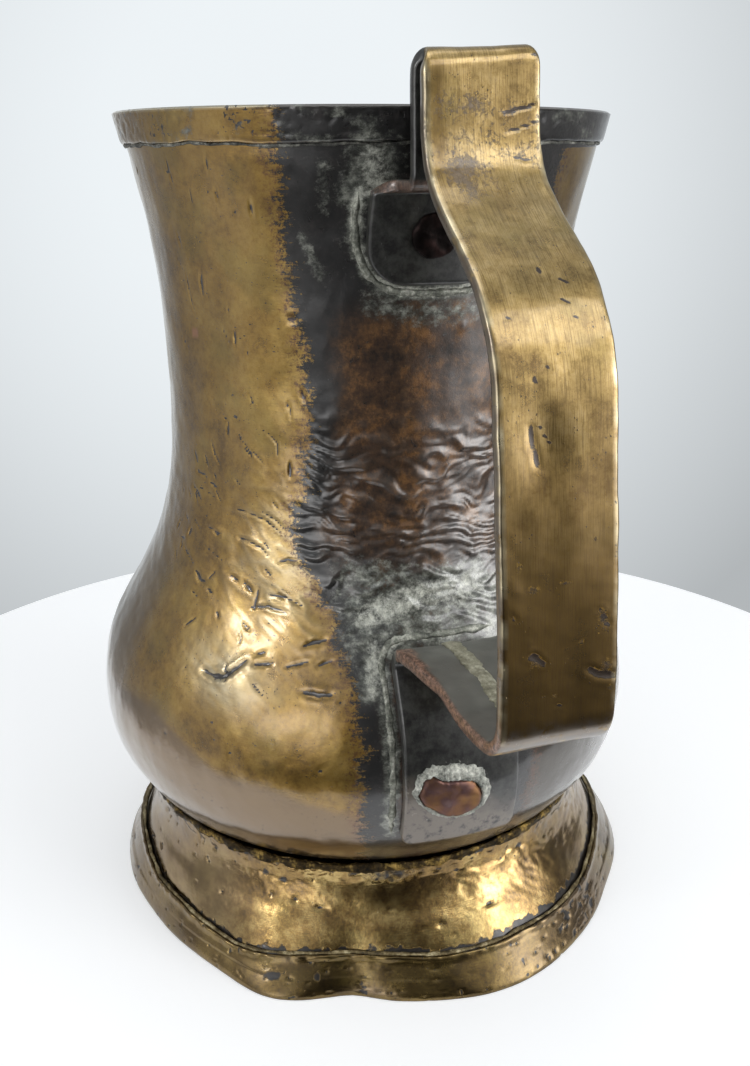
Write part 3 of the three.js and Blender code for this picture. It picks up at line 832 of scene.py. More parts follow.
BODY_BRASS = body_material()
FOOT_BRASS = brass_material("foot_brass_worn", "#cbb072", "#937540", "#544024", 0.33)
BAND_BRASS = brass_material("foot_band_brass_worn", "#86703f", "#665229", "#44351d", 0.38)
STRAP_BRASS = strap_material()
INSIDE_BRASS = brass_material("inside_brass_dull", "#76664a", "#5a4d37", "#3b3226", 0.5)
LOWER_COPPER = copper_material("lower_rivet_copper", "#8f6c48", "#7d5c48", "#6b5250")
UPPER_COPPER = copper_material("upper_rivet_copper", "#3a2c2a", "#241f1e", "#151313")
PALE_SOLDER = solder_material("pale_solder", "#50524b", "#8c8e83", "#dcdcd0")
HEM_SOLDER = solder_material("hem_solder", "#3a3224", "#7d6e4c", "#cdc19c", 0.6)
RING_SOLDER = solder_material("ring_solder", "#4a4c48", "#a7a9a0", "#ecece2", 0.3)
SEAM_SOLDER = solder_material("seam_solder", "#7d7a68", "#a5a28c", "#cfccb6")
GREY_SOLDER = solder_material("grey_solder", "#2b2b2a", "#65655f", "#b9b9ae")
DARK_SOLDER = solder_material("dark_solder", "#16120d", "#43361f", "#a98d4e", 0.85)


# Body
def body_sections():
    """Rows of the wall: up the outside, finest at the wrinkles, and down the inside."""
    density = 1 + smooth(54, 60, wall_line[:, 1]) * (1 - smooth(106, 112, wall_line[:, 1]))
    inner_line = wall_line - WALL * wall_normals
    inner_line = inner_line[inner_line[:, 1] < RIM_HEIGHT - 0.5]
    return resample(wall_line, WALL_ROWS, density), resample(inner_line, INSIDE_ROWS)[::-1]


def crust_amount(turn, z):
    """How thickly solder is smeared on the wall, from 0 to 1."""
    side = turn * girth(z)
    ear = line_distance(side, z, EAR_BEAD)
    amount = 0.95 * hump(ear, 0, 1.2) + 0.16 * hump(ear, 0, 4)
    for line, width, share in SMEARS:
        amount = np.maximum(amount, share * hump(line_distance(side, z, line), 0, width))
    patchy = 0.75 + 0.5 * FOLDS.layers(side / 3, z / 5, 1.9, 2)
    fold = hump(line_distance(side, z, FOLD_BEAD), 0, 1.4)
    amount = np.maximum(amount, 0.9 * patchy * fold)
    veil = smooth(64, 69, z) * (1 - smooth(80, 87, z + 0.18 * side)) * smooth(-25, -15, side)
    return np.maximum(amount, 0.5 * veil * (1 - smooth(18, 26, side)))


def body_marks(turn, z):
    """Burnt, crusted, brown and spotted places, painted reflection tints and painted shade."""
    side = turn * girth(z)
    margin = dark_margin(turn, z)
    brown = (1 - smooth(128, 141, z - 0.35 * side)) * smooth(3, 9, margin)
    brown *= 1 - 0.6 * (1 - smooth(80, 98, z))
    wander = 3 * NOISE.at(turn / 14, z / 14, 2.2)
    # Painted reflection: a muted pinkish tint where the belly mirrors the white table, below about
    # 45 mm, and down the left side
    rosy = 1 - smooth(44, 46.5, z + wander + 0.25 * np.clip(turn + 38, -30, 40))
    left = smooth(-70, -84, turn + wander) * left_of_back(turn)
    rosy = np.maximum(rosy, 0.6 * left * (1 - 0.6 * smooth(70, 100, z)))
    left = smooth(-54, -66, turn) * left_of_back(turn)
    rosy = np.maximum(rosy, (1 - smooth(50, 56, z + wander)) * left)
    # Painted shade: darker on the right belly under the handle, and a darker painted reflection
    # down the left edge
    painted_shade = 1.1 * smooth(8, 13, turn) * (1 - smooth(45, 80, turn)) * (1 - smooth(56, 70, z))
    painted_shade += 0.35 * smooth(-70, -84, turn) * left_of_back(turn) * (1 - smooth(60, 90, z))
    spot = np.hypot((turn + 69.9) * girth(125.2), z - 125.2)
    return {"dark": margin, "crust": crust_amount(turn, z), "brown": brown, "rosy": rosy,
            "painted_shade": painted_shade, "inside": 0 * z, "spot": 1 - smooth(0.8, 1.3, spot)}


def make_body():
    turns = dense_turns(WALL_COLUMNS)
    outside, inside = body_sections()
    turn, z = np.meshgrid(turns, outside[:, 1])
    relief, dirt, worn = body_relief(turn, z)
    outer = off_wall(turn, z, relief)
    outer[-1, :, 2] -= LIP
    swing = math.pi * np.arange(1, 4) / 4
    lip = np.stack([RIM_RADIUS + WALL / 2 * (np.cos(swing) - 1),
                    RIM_HEIGHT + LIP * (np.sin(swing) - 1)], 1)
    top = np.concatenate([outer, revolve(lip, turns)])
    few = turns[::4]
    inner = revolve(inside, few)
    points = np.concatenate([top.reshape(-1, 3), inner.reshape(-1, 3)])
    columns, less = len(turns), len(few)
    first_inner = len(top) * columns
    last_top = first_inner - columns
    last_inner = len(points) - less
    faces = grid_faces(len(top), columns) + grid_faces(len(inside), less, start=first_inner)
    for k in range(less):
        dense = [(4 * k + step) % columns for step in range(5)]
        after = (k + 1) % less
        faces.append([last_top + d for d in dense] + [first_inner + after, first_inner + k])
        faces.append([last_inner + k, last_inner + after] + dense[::-1])
    top_turn, top_z = np.tile(turns, (len(top), 1)), top[..., 2]
    marks = body_marks(top_turn, top_z)
    plain = np.zeros((len(lip), columns))
    marks.update(dirt=np.vstack([dirt, plain]), worn=np.vstack([worn, plain]))
    within = {"dark": -30.0, "inside": 1.0}
    marks = {name: np.append(values, np.full(less * len(inside), within.get(name, 0.0)))
             for name, values in marks.items()}
    marks["wall"] = np.append(unrolled(top_turn * girth(top_z), top_z),
                              unrolled(few * 0.7, inner[..., 2]))
    make_piece("body", points, faces, BODY_BRASS, "body_shell", marks)


# Rim band
def band_low(turn):
    """The rim band's lower edge, which wanders."""
    return RIM_BAND_LOW + 0.5 * NOISE.at(turn / 24, 4.4, 0) + 0.25 * NOISE.at(turn / 6, 8, 0)


def make_rim_band():
    """A closed ring: up the outside, over the top and down along the wall."""
    share = [*np.linspace(0, 1, 16), 1, 1, 1, 1, 0.5, 0, 0, 0]
    turn, share = np.meshgrid(dense_turns(RIM_COLUMNS), share)
    proud = np.array([*np.ones(16), 0.85, 0.5, 0.15, 0, 0, 0, 0.3, 0.75])[:, None]
    low = band_low(turn)
    z = low + share * (RIM_HEIGHT - low)
    place = around(turn, 48, z)  # on a cylinder near the rim, for noise
    pitted = smooth(0.3, 0.6, NOISE.over(place, 12) + 0.5)
    bumps = 0.1 * NOISE.over(place, 9) + 0.06 * NOISE.over(place, 3)
    bumps -= 0.12 * smooth(0.15, 0.5, FOLDS.over(place, 1.3)) * pitted
    thickness = BAND * (0.75 + 0.25 * smooth(0, 0.1, share))
    radius = wall_radius(np.minimum(z, RIM_HEIGHT - 0.1)) + SEAT + (thickness + bumps) * proud
    z = z - 0.35 * smooth(0.5, 1, proud) * (share > 0.99)
    place = around(turn, 48, z)
    spots = smooth(0.12, 0.4, FOLDS.over(place, 0.9, 2))
    spots *= smooth(0.4, 0.75, 0.5 + NOISE.over(place, (6, 6, 5)))
    crust = 0.3 * hump(turn, -16, 8) + 0.1 * hump(turn, 30, 25)
    marks = {
        "dark": dark_margin(turn, z), "crust": crust + 0.5 * FOLDS.over(place, (5, 5, 3), 2),
        # The band's top edge is painted pale as a highlight, and its left side gets the painted
        # reflection tint
        "dirt": 0.8 * spots * (z > low + 0.8), "worn": smooth(0.9, 0.97, share),
        "rosy": 0.5 * smooth(-60, -80, turn) * left_of_back(turn),
        "wall": unrolled(turn * girth(z), z)}
    for name in ("brown", "inside", "spot", "painted_shade"):
        marks[name] = 0 * z
    make_piece("rim_sheet", around(turn, radius, z), ring_faces(*z.shape), BODY_BRASS,
               "rim_band", marks)


# Foot
def bend_foot(turn, radius, z):
    """The foot leans off the axis and its edge is pushed in and out."""
    depth = np.clip(1 - z / SEAM_HEIGHT, 0, 1)
    push = sum(lobe * hump(turn, middle, spread) for middle, lobe, spread in FOOT_LOBES)
    return around(turn, radius + push * depth ** 2, z) + depth[..., None] * FOOT_SHIFT


# Height of the foot band's upper edge around the foot: degrees, height
HEM = [
    (-180, 8.6), (-120, 9.4), (-91, 9), (-85, 8.1), (-80, 7.4), (-76, 6.6), (-66, 6.6), (-59, 6),
    (-48, 5.4), (-39, 6.4), (-33, 6.9), (-23, 7.1), (-13, 7.2), (-5, 6.7), (9, 6.8), (14, 7),
    (27, 6.4), (39, 6.7), (48, 7.6), (55, 8.4), (63, 9), (100, 9.2), (180, 8.6)]


def hem_height(turn):
    return between(HEM, turn)


def cone_radius(z):
    radii, heights = zip(*FOOT_OUTLINE)
    return np.interp(z, heights, radii)


def follow_hem(turn, radius, z):
    """The band's upper part rises and falls around the foot, along the cone."""
    lifted = z + (hem_height(turn) - HEM_LEVEL) * smooth(0.8, HEM_LEVEL, z)
    return radius + cone_radius(lifted) - cone_radius(z), lifted


def ring_piece(name, outer, inner, relief, material, node, follow=None):
    """A closed ring between an outer line, going up, and an inner one, going down."""
    section = np.concatenate([outer, inner])
    turn, radius = np.meshgrid(dense_turns(WALL_COLUMNS), section[:, 0])
    z = np.repeat(section[:, 1:], WALL_COLUMNS, 1)
    if follow:
        radius, z = follow(turn, radius, z)
    push, marks = relief(turn, z)
    outside = np.arange(len(section))[:, None] < len(outer)
    marks = {mark: values * outside for mark, values in marks.items()}
    normals = np.concatenate([outward(outer), outward(inner)])
    push = push * outside
    z = np.maximum(z + push * normals[:, 1:], 0)
    points = bend_foot(turn, radius + push * normals[:, :1], z)
    marks["wall"] = unrolled(turn * 0.95, z)
    make_piece(name, points, ring_faces(*z.shape), material, node, marks)


# Pits of the foot: degrees, height, length along the foot, half height
FOOT_PITS = [
    (-48.3, 21.3, 1.6, 0.8), (-43.2, 18.3, 1.3, 0.8), (-38.5, 17.7, 1.6, 0.7),
    (-35.5, 14.7, 0.9, 0.5), (-41.3, 14.7, 0.5, 0.4), (-29.6, 13.8, 1.3, 0.35),
    (4.6, 22, 1.6, 0.8), (9.9, 21.8, 1.7, 0.8), (3.6, 19, 1.3, 0.5), (22.8, 18.9, 1.1, 0.8),
    (9.7, 12, 1.5, 0.35), (-64, 20, 0.5, 1.2), (-58.6, 19, 0.8, 0.5), (-21.2, 20.6, 2, 0.4),
    (-12, 20.2, 1.6, 0.4), (-3, 10.8, 0.6, 0.35)]


def foot_relief(turn, z):
    """How far the foot's skin stands out, its dirt, and its painted reflection tint."""
    place = around(turn, 52, z)  # on a cylinder near the foot, for noise
    high = smooth(13, 19, z)
    arc = turn * 0.9
    push = 0.25 * NOISE.over(place, (14, 14, 10)) + 0.05 * NOISE.over(place, (5, 5, 3))
    push += high * 0.05 * FOLDS.over(place, (5.5, 5.5, 2.4))
    # Small slanting folds that flow down from the seam
    u, v = arc - 0.8 * z, z + 0.8 * arc
    rippled = smooth(-4, 6, turn) * hump(z, 16.5, 5) + 0.5 * hump(turn, -40, 14) * hump(z, 17, 4)
    push += 0.2 * rippled * (ridges(FOLDS, u / 5, v / 1.8, 6.1) - 0.35)
    pock = FOLDS.over(place, (2.2, 2.2, 1.3), 2) - 0.42 + 0.15 * high
    pock = smooth(0.35, 0.6, pock)
    blur = 1 + 0.3 * FOLDS.over(place, 1)
    for middle, height, long, tall in FOOT_PITS:
        far = np.hypot((turn - middle) * 0.9 / long, (z - height) / tall)
        pock = np.maximum(pock, hump(far * blur, 0, 1))
    push -= 0.35 * pock
    ragged = 0.8 * FOLDS.over(place, 2, 3) - 0.6 * smooth(0, 30, turn)
    hem = hem_height(turn)
    low = 1 - smooth(hem - 0.1, hem + 1.3, z + 1.2 * ragged)
    joint = smooth(20.8, 22.6, z + 1.4 * FOLDS.over(place, (2, 2, 1.4), 3))
    crumbly = hump(z, 21.2, 1.6) * (0.4 + 0.6 * hump(turn, -28, 30))
    push += 0.5 * crumbly * FOLDS.over(place, (1.7, 1.7, 1.1), 2)
    dirt = np.maximum(np.maximum(0.8 * pock, 0.85 * low), 0.75 * joint)
    dirt = np.maximum(dirt, 0.62 * hump(turn, -12, 12) * hump(z, 20.5, 3.5))
    # Painted reflection tint down the left of the foot and on its right
    rosy = 0.7 * smooth(-40, -56, turn) * left_of_back(turn) + 0.6 * hump(turn, 60, 30)
    return push, {"dirt": dirt, "rosy": rosy}


def band_relief(turn, z):
    """The same for the foot band."""
    place = around(turn, 58, z)
    push = 0.22 * NOISE.over(place, 13) + 0.04 * NOISE.over(place, 4)
    push += 0.35 * hump(z, hem_height(turn) - 0.3, 0.6) * (1 + 0.8 * FOLDS.over(place, 2))
    worn = np.maximum(hump(turn, 33, 14), 0.8 * hump(turn, -19, 5) * smooth(3, 1, z))
    worn = worn * smooth(0.4, 1.2, z)
    grain = FOLDS.over(place, 1.3, 3)
    pock = smooth(0.2, 0.55, grain - 0.3 + 0.5 * worn)
    push -= 0.2 * pock
    blur = 1 + 0.35 * grain
    long, round_spot = turn + 38, turn + 29.5
    stain = hump(np.hypot(long * 1.02 / 2.2, (z - 3.4 - 0.2 * long) / 0.8) * blur, 0, 1)
    other = hump(np.hypot(round_spot / 0.9, (z - 3.6) / 1.1) * blur, 0, 1)
    dirt = np.maximum(0.8 * pock, np.maximum(stain, 0.8 * other))
    # Tint: a painted reflection on the left, and the worn patches
    return push, {"dirt": dirt, "rosy": 0.4 * hump(turn, -80, 30) + 0.9 * worn}


def make_foot():
    outer = resample(spline(FOOT_OUTLINE, 300), 56)
    inner = (outer - WALL * outward(outer))[::-6]
    inner = np.concatenate([[(46.6, 22.1)], resample(inner[inner[:, 1] < 21], 8)])
    ring_piece("foot_cone", outer, inner, foot_relief, FOOT_BRASS, "foot")
    outer = resample(spline(FOOT_BAND_OUTER, 300), 34)
    inner = resample(spline(FOOT_BAND_INNER, 300), 8)
    ring_piece("foot_flange", outer, inner, band_relief, BAND_BRASS, "foot_band", follow_hem)


# Beads of solder
def bead(name, centre, width, height, frame_of, material, node, seed, closed=False):
    """A ragged bead along a line: centre gives (a, b) rows, frame_of turns them into places."""
    swing = circle(BEAD_COLUMNS)
    across, up = np.cos(swing), np.sin(swing)
    along = lengths(centre)[:, None]
    if closed:
        spin = 2 * math.pi * along / along[-1]
        ripple = NOISE.layers(np.cos(spin) * 9 + seed, np.sin(spin) * 9, 0 * swing, 4)
    else:
        ripple = NOISE.layers(along / 3 + seed, 0.0, 0 * swing, 4)
    fine = NOISE.layers(along / 1.1, across * 1.4 + seed, up * 1.4, 2)
    swell = np.clip(1 + 0.7 * ripple, 0.25, 2)
    if not closed:
        swell = swell * smooth(0, 3, along) * smooth(0, 3, along[-1] - along) + 0.05
    across = across * width * swell * (1 + 0.2 * fine)
    lift = np.maximum(up, -0.25) * height * swell * (1 + 0.3 * fine)
    step = np.gradient(centre, axis=0)
    step /= np.linalg.norm(step, axis=1, keepdims=True) + 1e-9
    across = across + 0.35 * width * NOISE.layers(along / 4 + 2 * seed, 3.0, 0 * along, 3)
    points = frame_of(centre[:, :1] - step[:, 1:] * across, centre[:, 1:] + step[:, :1] * across,
                      lift)
    if closed:
        points = points[:-1]
    faces = (ring_faces if closed else capped_faces)(*points.shape[:2])
    make_piece(name, points, faces, material, node)


def wall_bead(name, route, width, height, node, seed):
    """A bead on the wall through points of side and height."""
    line = spline(route, 400)
    line = resample(line, int(lengths(line)[-1] / 0.4))

    def place(side, z, rise):
        return on_wall(side / girth(z), z, rise)

    bead(name, line, width, height, place, PALE_SOLDER, node, seed)


def rim_bead():
    turn = np.linspace(-180, 180, BEAD_ROWS)
    degree = girth(159)
    line = np.stack([turn * degree, band_low(turn) - 0.25], 1)

    def place(side, z, rise):
        return on_wall(side / degree, z, rise + 0.1)

    bead("rim_solder_line", line, 0.35, 0.35, place, GREY_SOLDER, "rim_band_solder", 5,
         closed=True)


def foot_bead(name, radius, heights, width, height, tilt, material, node, seed):
    """A bead around the foot at heights given by degrees, tilted outwards by degrees."""
    turn = np.linspace(-180, 180, BEAD_ROWS)
    z = between(heights, turn)
    degree = radius * math.pi / 180
    rise_out, rise_up = math.cos(math.radians(tilt)), math.sin(math.radians(tilt))
    shift = radius - cone_radius(heights[0][1])

    def place(side, level, rise):
        angle = side / degree
        middle = np.interp(angle, turn, z)
        across = level - middle
        reach = shift + cone_radius(middle) - across * rise_up + rise * rise_out
        return bend_foot(angle, reach, middle + across * rise_out + rise * rise_up)

    line = np.stack([turn * degree, z], 1)
    bead(name, line, width, height, place, material, node, seed, closed=True)


# Height of the seam of solder between belly and foot: degrees, height
JOINT = [
    (-180, 22.9), (-63, 22.9), (-48, 22.6), (-34, 22.2), (-15, 22.6), (-1, 22.5), (8, 23),
    (180, 22.9)]


def make_beads():
    wall_bead("upper_ear_bead", EAR_BEAD, 0.6, 0.6, "upper_ear_solder", 1)
    wall_bead("lower_ear_bead", FOLD_BEAD, 0.55, 0.25, "lower_ear_solder", 2)
    rim_bead()
    hem = [(turn, z + 0.1) for turn, z in HEM]
    foot_bead("foot_band_bead", cone_radius(hem[0][1]) + 0.75, hem, 0.36, 0.22, 60,
              HEM_SOLDER, "foot_band_solder", 6)
    foot_bead("foot_joint_bead", 50.1, JOINT, 0.95, 0.7, -20,
              DARK_SOLDER, "foot_joint_solder", 7)


# Handle
def corner_arc(before, corner, after, radius):
    """Points of a rounded corner between two straight lines."""
    before, corner, after = (np.array(place, float) for place in (before, corner, after))
    arrive = (corner - before) / np.linalg.norm(corner - before)
    leave = (after - corner) / np.linalg.norm(after - corner)
    turn = math.acos(np.clip(arrive @ leave, -1, 1))
    start = corner - arrive * radius * math.tan(turn / 2)
    way = 1 if arrive[0] * leave[1] - arrive[1] * leave[0] > 0 else -1
    centre = start + way * radius * np.array([-arrive[1], arrive[0]])
    swing = way * turn * np.linspace(0, 1, 13)
    dx, dz = start - centre
    return np.stack([centre[0] + dx * np.cos(swing) - dz * np.sin(swing),
                     centre[1] + dx * np.sin(swing) + dz * np.cos(swing)], 1)


def ear_line(ear):
    """The strap's centre line over an ear, going up the wall."""
    z = np.linspace(ear["end"], ear["top"], 60)
    nr, nz = wall_normal(z)
    away = SEAT + STRAP_THICKNESS / 2
    return np.stack([wall_radius(z) + away * nr, z + away * nz], 1)


# The arm between fold and elbow sags: distance out, rise
ARM_SAG = [
    (54, 0), (61, 0.3), (66, 0), (70, 0.1), (74.5, -0.5), (77.6, -0.9), (80.4, -0.7), (84, -0.4),
    (87, 0)]


def strap_path():
    """The strap's centre line with what its section does along it."""
    grip = spline(GRIP_LINE, 260)
    lower, upper = ear_line(LOWER_EAR), ear_line(UPPER_EAR)[::-1]
    fold = corner_arc(lower[-1], FOLD["tip"], ELBOW["tip"], FOLD["radius"])
    elbow = corner_arc(FOLD["tip"], ELBOW["tip"], grip[0] + [0, 0.01], ELBOW["radius"])
    arm = fold[-1] + (elbow[0] - fold[-1]) * np.linspace(0, 1, 60)[1:-1, None]
    arm[:, 1] += between(ARM_SAG, arm[:, 0])
    swing = np.linspace(0, math.pi, 20)[1:]
    hairpin = np.stack([HAIRPIN["x"] + HAIRPIN["radius"] * np.cos(swing),
                        HAIRPIN["z"] + HAIRPIN["radius"] * np.sin(swing)], 1)
    outer_bend = corner_arc(hairpin[-1], LEDGE["outer"], LEDGE["inner"], LEDGE["radius"])
    inner_bend = corner_arc(LEDGE["outer"], LEDGE["inner"], upper[0], LEDGE["radius"])
    # Half width, side shift, how far it hugs the wall and half thickness
    thin, thick = STRAP_THICKNESS / 2, ARM_THICKNESS / 2
    ear = (LOWER_EAR["half"], LOWER_EAR["shift"], 1, thin)
    curl = (11.4, LOWER_EAR["shift"], 0.6, thick)
    bar = (STRAP_HALF, 0, 0, thick)
    plain = (STRAP_HALF, 0, 0, thin)
    upper_ear = (UPPER_EAR["half"], UPPER_EAR["shift"], 1, thin)
    sections = [
        (lower, ear, ear), (fold, ear, curl), (arm[:24], curl, bar), (arm[24:], bar, bar),
        (elbow, bar, plain), (grip[1:], plain, plain), (hairpin, plain, plain),
        (outer_bend, plain, plain), (inner_bend, (STRAP_HALF, 0, 0.5, thin), upper_ear),
        (upper, upper_ear, upper_ear)]
    rows = []
    for line, start, end in sections:
        share = np.linspace(0, 1, len(line))[:, None]
        rows.append(np.hstack([line, np.array(start) * (1 - share) + np.array(end) * share]))
    return np.concatenate(rows)


# Cuts and dents of the strap's outer face: points as (side, height), half width, depth
STRAP_CUTS = [
    ([(3.5, 163), (6.2, 163.6), (8.8, 164)], 0.32, 0.25),
    ([(3.7, 160.2), (6.1, 160.7), (9.8, 161.7)], 0.24, 0.19),
    ([(7.9, 170.5), (9, 171)], 0.24, 0.17), ([(1.3, 142.5), (0.5, 140.2)], 0.17, 0.08),
    ([(-7.6, 136), (-6.6, 136.4)], 0.14, 0.08), ([(-6.9, 134.9), (-5.8, 135.6)], 0.15, 0.08),
    ([(3.8, 134.6), (4.6, 135.3)], 0.15, 0.07), ([(2.6, 137.2), (3.8, 136.7)], 0.14, 0.07),
    ([(3.1, 139.9), (4.7, 138.9)], 0.21, 0.07), ([(-4, 129.4), (-3.5, 126.8)], 0.15, 0.07),
    ([(-1.4, 129), (-1.1, 127.6)], 0.15, 0.08),
    ([(-4.5, 120.9), (-3.9, 117.8), (-3.2, 115.2)], 0.39, 0.14),
    ([(-3.2, 121.2), (-1, 117.8)], 0.17, 0.08), ([(6.4, 93.2), (7.8, 90.7)], 0.21, 0.14),
    ([(-5.4, 89.4), (-5, 87.1)], 0.2, 0.11), ([(-4.7, 87.8), (-2.7, 85.8)], 0.28, 0.14),
    ([(5, 83.9), (6.6, 82.8), (8.9, 82.4)], 0.56, 0.11), ([(-0.7, 78.7), (0, 78.9)], 0.17, 0.08),
    ([(-7.5, 106), (-7.4, 104.6)], 0.17, 0.11), ([(-7.5, 99), (-7.4, 97.6)], 0.17, 0.11),
    ([(-7.4, 94.7), (-7.6, 93.4)], 0.21, 0.11), ([(5, 156.2), (7, 155.7)], 0.21, 0.11)]

# Clusters of dark specks: place across the strap, height, half width, half height
RUST_SPECKS = [
    (7.8, 84, 1.9, 2.4), (-4.2, 86.6, 2, 2), (-4.6, 97.4, 1.8, 1.2), (7, 92, 1.3, 2.2),
    (0.5, 98, 1.8, 0.6), (8.4, 80.6, 1, 1), (-1, 80.6, 1, 0.8), (-6.8, 101, 0.9, 1.6),
    (3.4, 88.5, 0.9, 0.9), (5.6, 104, 1, 0.8)]


def strap_section():
    """Points around the strap: share across from -1 to 1, and face from -1 inner to 1 outer."""
    flat = np.linspace(-1, 1, 27)
    corner = np.radians([65, 40, 15, -15, -40, -65])
    right = [(1, math.cos(t), math.sin(t)) for t in corner]
    left = [(-1, -math.cos(t), -math.sin(t)) for t in corner]
    return np.array([(u, 0, 1) for u in flat] + right + [(u, 0, -1) for u in flat[::-1]] + left)


def twist(x, side, z):
    """Heights of points, raised towards the strap's far edge."""
    return z + side * smooth(52, 60, x) * TWIST["slope"] * np.maximum(z - TWIST["level"], 0)


def make_strap():
    path = resample(strap_path(), STRAP_ROWS)
    for _ in range(2):
        path[1:-1, :2] = (path[:-2, :2] + 2 * path[1:-1, :2] + path[2:, :2]) / 4
    x0, z0, half, shift, hug, thick = path.T[..., None]
    nx, nz = outward(path[:, :2]).T[..., None]
    hug = np.clip(hug, 0, 1)
    along = lengths(path[:, :2])[:, None]
    for ear, distance in ((LOWER_EAR, along), (UPPER_EAR, along[-1] - along)):
        inset = np.maximum(ear["corner"] - distance, 0)
        cut = ear["corner"] - np.sqrt(np.maximum(ear["corner"] ** 2 - inset ** 2, 0))
        half = np.where(distance < ear["corner"], ear["half"] - cut, half)
    turned = np.clip((z0 - z0.max() + 2.6) / 2.6, 0, 1)
    half = half - 1.7 * (1 - np.sqrt(1 - 0.96 * turned ** 2))
    tip = np.minimum(along, along[-1] - along)
    bulk = np.sqrt(np.clip(1 - (1 - np.clip(tip / 0.7, 0, 1)) ** 2, 0.04, 1))
    # The section with its rounded corners
    flat, round_across, face = strap_section().T
    corner = 0.55
    edge_wave = 0.14 * NOISE.layers(along / 9, np.sign(flat) * 3.0, 0.5, 3) * np.abs(flat) ** 6
    side = flat * (half - corner) + round_across * corner + np.sign(flat) * edge_wave + shift
    thick = thick * bulk
    out = np.where(np.abs(face) >= 1, np.sign(face) * thick,
                   np.sign(face) * (thick - corner * bulk) + face * corner * bulk)
    # Waves of the sheet, cuts and a dent in the middle of the grip
    sheet = 0.16 * NOISE.at(x0 / 15, side / 13, z0 / 15)
    sheet = (sheet + 0.07 * NOISE.at(x0 / 5, side / 5, z0 / 6)) * (1 - hug) * smooth(0, 8, tip)
    outer_face = (out > 0.2) * 1.0
    on_grip = ((x0 > 57.4) & (z0 > 74)) * 1.0
    skin = 0.02 * FOLDS.layers(x0 / 2.2, side / 2.2, z0 / 2.2, 2)
    dirt = np.zeros(side.shape)
    ragged = 1 + 0.3 * FOLDS.at(side / 0.9, z0 / 0.9, 2.0)
    for points, width, depth in STRAP_CUTS:
        distance = line_distance(side, z0, points) * ragged
        core = hump(distance, 0, width) * outer_face * on_grip
        rim = hump(distance, 2.1 * width, width) * outer_face * on_grip
        skin = skin + depth * (0.35 * rim - core)
        dirt = np.maximum(dirt, core)
    sheet = sheet - 0.5 * hump(side, -2.6, 3.6) * hump(z0, 118.5, 5.5) * on_grip
    out = out + sheet + skin * np.sign(out) * (np.abs(face) > 0.5)
    x, z = x0 + nx * out, z0 + nz * out
    rounded = np.sqrt(np.maximum(x ** 2 - side ** 2, 1))
    z = twist(x, side * (1 - hug), z)
    x = x + (rounded - x) * hug
    faces = [corners[::-1] for corners in capped_faces(*side.shape)]
    marks = strap_marks(x, side, z, outer_face, on_grip, dirt)
    marks["strip"] = unrolled(side, along)
    make_piece("strap", np.stack([x, side, z], -1), faces, STRAP_BRASS,
               "handle_strap", marks)


def strap_marks(x, side, z, outer_face, on_grip, dirt):
    """Tarnish, pits, copper, ash, crust, deep gold, grey, and a painted edge highlight."""
    fuzz = FOLDS.layers(side / 3, z / 3, x / 3, 3)
    front = on_grip * outer_face
    on_ear = (x < 62) & (z < 69)
    upper = (z < 153.4) & (x < 56) & (z > 120)
    arm = (z < 74) & (x > 53) & ~on_ear & (outer_face < 1)
    under = (outer_face > 0) & (z < 73) & (x > 55) & ~on_ear
    left_edge = smooth(-9.1, -9.6, side)
    tarnish = np.where(outer_face > 0, 0.0, 0.95)
    tarnish = np.where((z > 153) & (x < 55.6), 0.75, tarnish)
    tarnish = np.where(upper | on_ear | ((x < 60) & (z < 78)), 0.95, tarnish)
    pitted = 0.56 * hump(side, -3, 7) * hump(z, 165, 3)
    pitted = np.maximum(pitted, 0.64 * hump(side, -3.5, 6) * hump(z, 154.6, 4.2))
    pitted = np.maximum(pitted, 0.34 * hump(z, 160, 9)) * front * (1 + 0.4 * fuzz)
    copper = left_edge * (x > 54) * (z < 80) * (1 - smooth(73, 79, z)) * ~on_ear
    copper = np.maximum(copper, np.where(upper & (z > 151.4), 0.45, 0))
    # Grey: painted reflection of the table on the ear's lower part and the elbow; the raw left edge
    grey = np.where(on_ear, 0.9 * (1 - smooth(38, 47, z + 0.4 * side + 2 * fuzz)), 0)
    grey = np.maximum(grey, 0.9 * outer_face * (1 - smooth(73, 77, z + fuzz)) * (x > 80))
    grey = np.maximum(grey, 0.85 * left_edge * on_grip * smooth(76, 84, z))
    ash = np.where(arm, 0.8 + 0.2 * fuzz, 0)
    rivet = np.hypot((side + 3.1) / 8.6, (z - 45) / 6.2)
    crust = 0.42 * hump(side, 3, 5) * hump(z, 139, 3.5)
    crust = crust + 0.3 * hump(side, -3, 2.5) * hump(z, 147, 5)
    crust = np.where(upper, crust, 0) + np.where(on_ear, 0.5 * hump(rivet, 1, 0.25), 0)
    # A painted highlight along both edges of the grip's outer face
    edge = np.maximum(hump(side, -9.4, 0.3), 0.8 * hump(side, 9.4, 0.25))
    edge = edge * front * (0.4 + 0.8 * fuzz)
    # Lower grip in deeper gold: partly its tone, partly painted shade where it mirrors the dark
    # room
    golden = 0.95 * (1 - smooth(94, 134, z)) * front
    golden = golden + 0.7 * hump(side, -7.5, 1.3) * smooth(150, 158, z) * on_grip
    for across, height, wide, tall in RUST_SPECKS:
        near = np.hypot((side - across) / wide, (z - height) / tall)
        dirt = np.maximum(dirt, 0.52 * hump(near, 0, 1) * front)
    marks = {"copper": copper, "grey": grey, "ash": ash, "edge": edge}
    marks = {name: np.clip(values, 0, 1) for name, values in marks.items()}
    return {**marks, "tarnish": np.where(under, 0.5, tarnish), "pitted": pitted,
            "golden": golden, "crust": crust, "dirt": dirt}


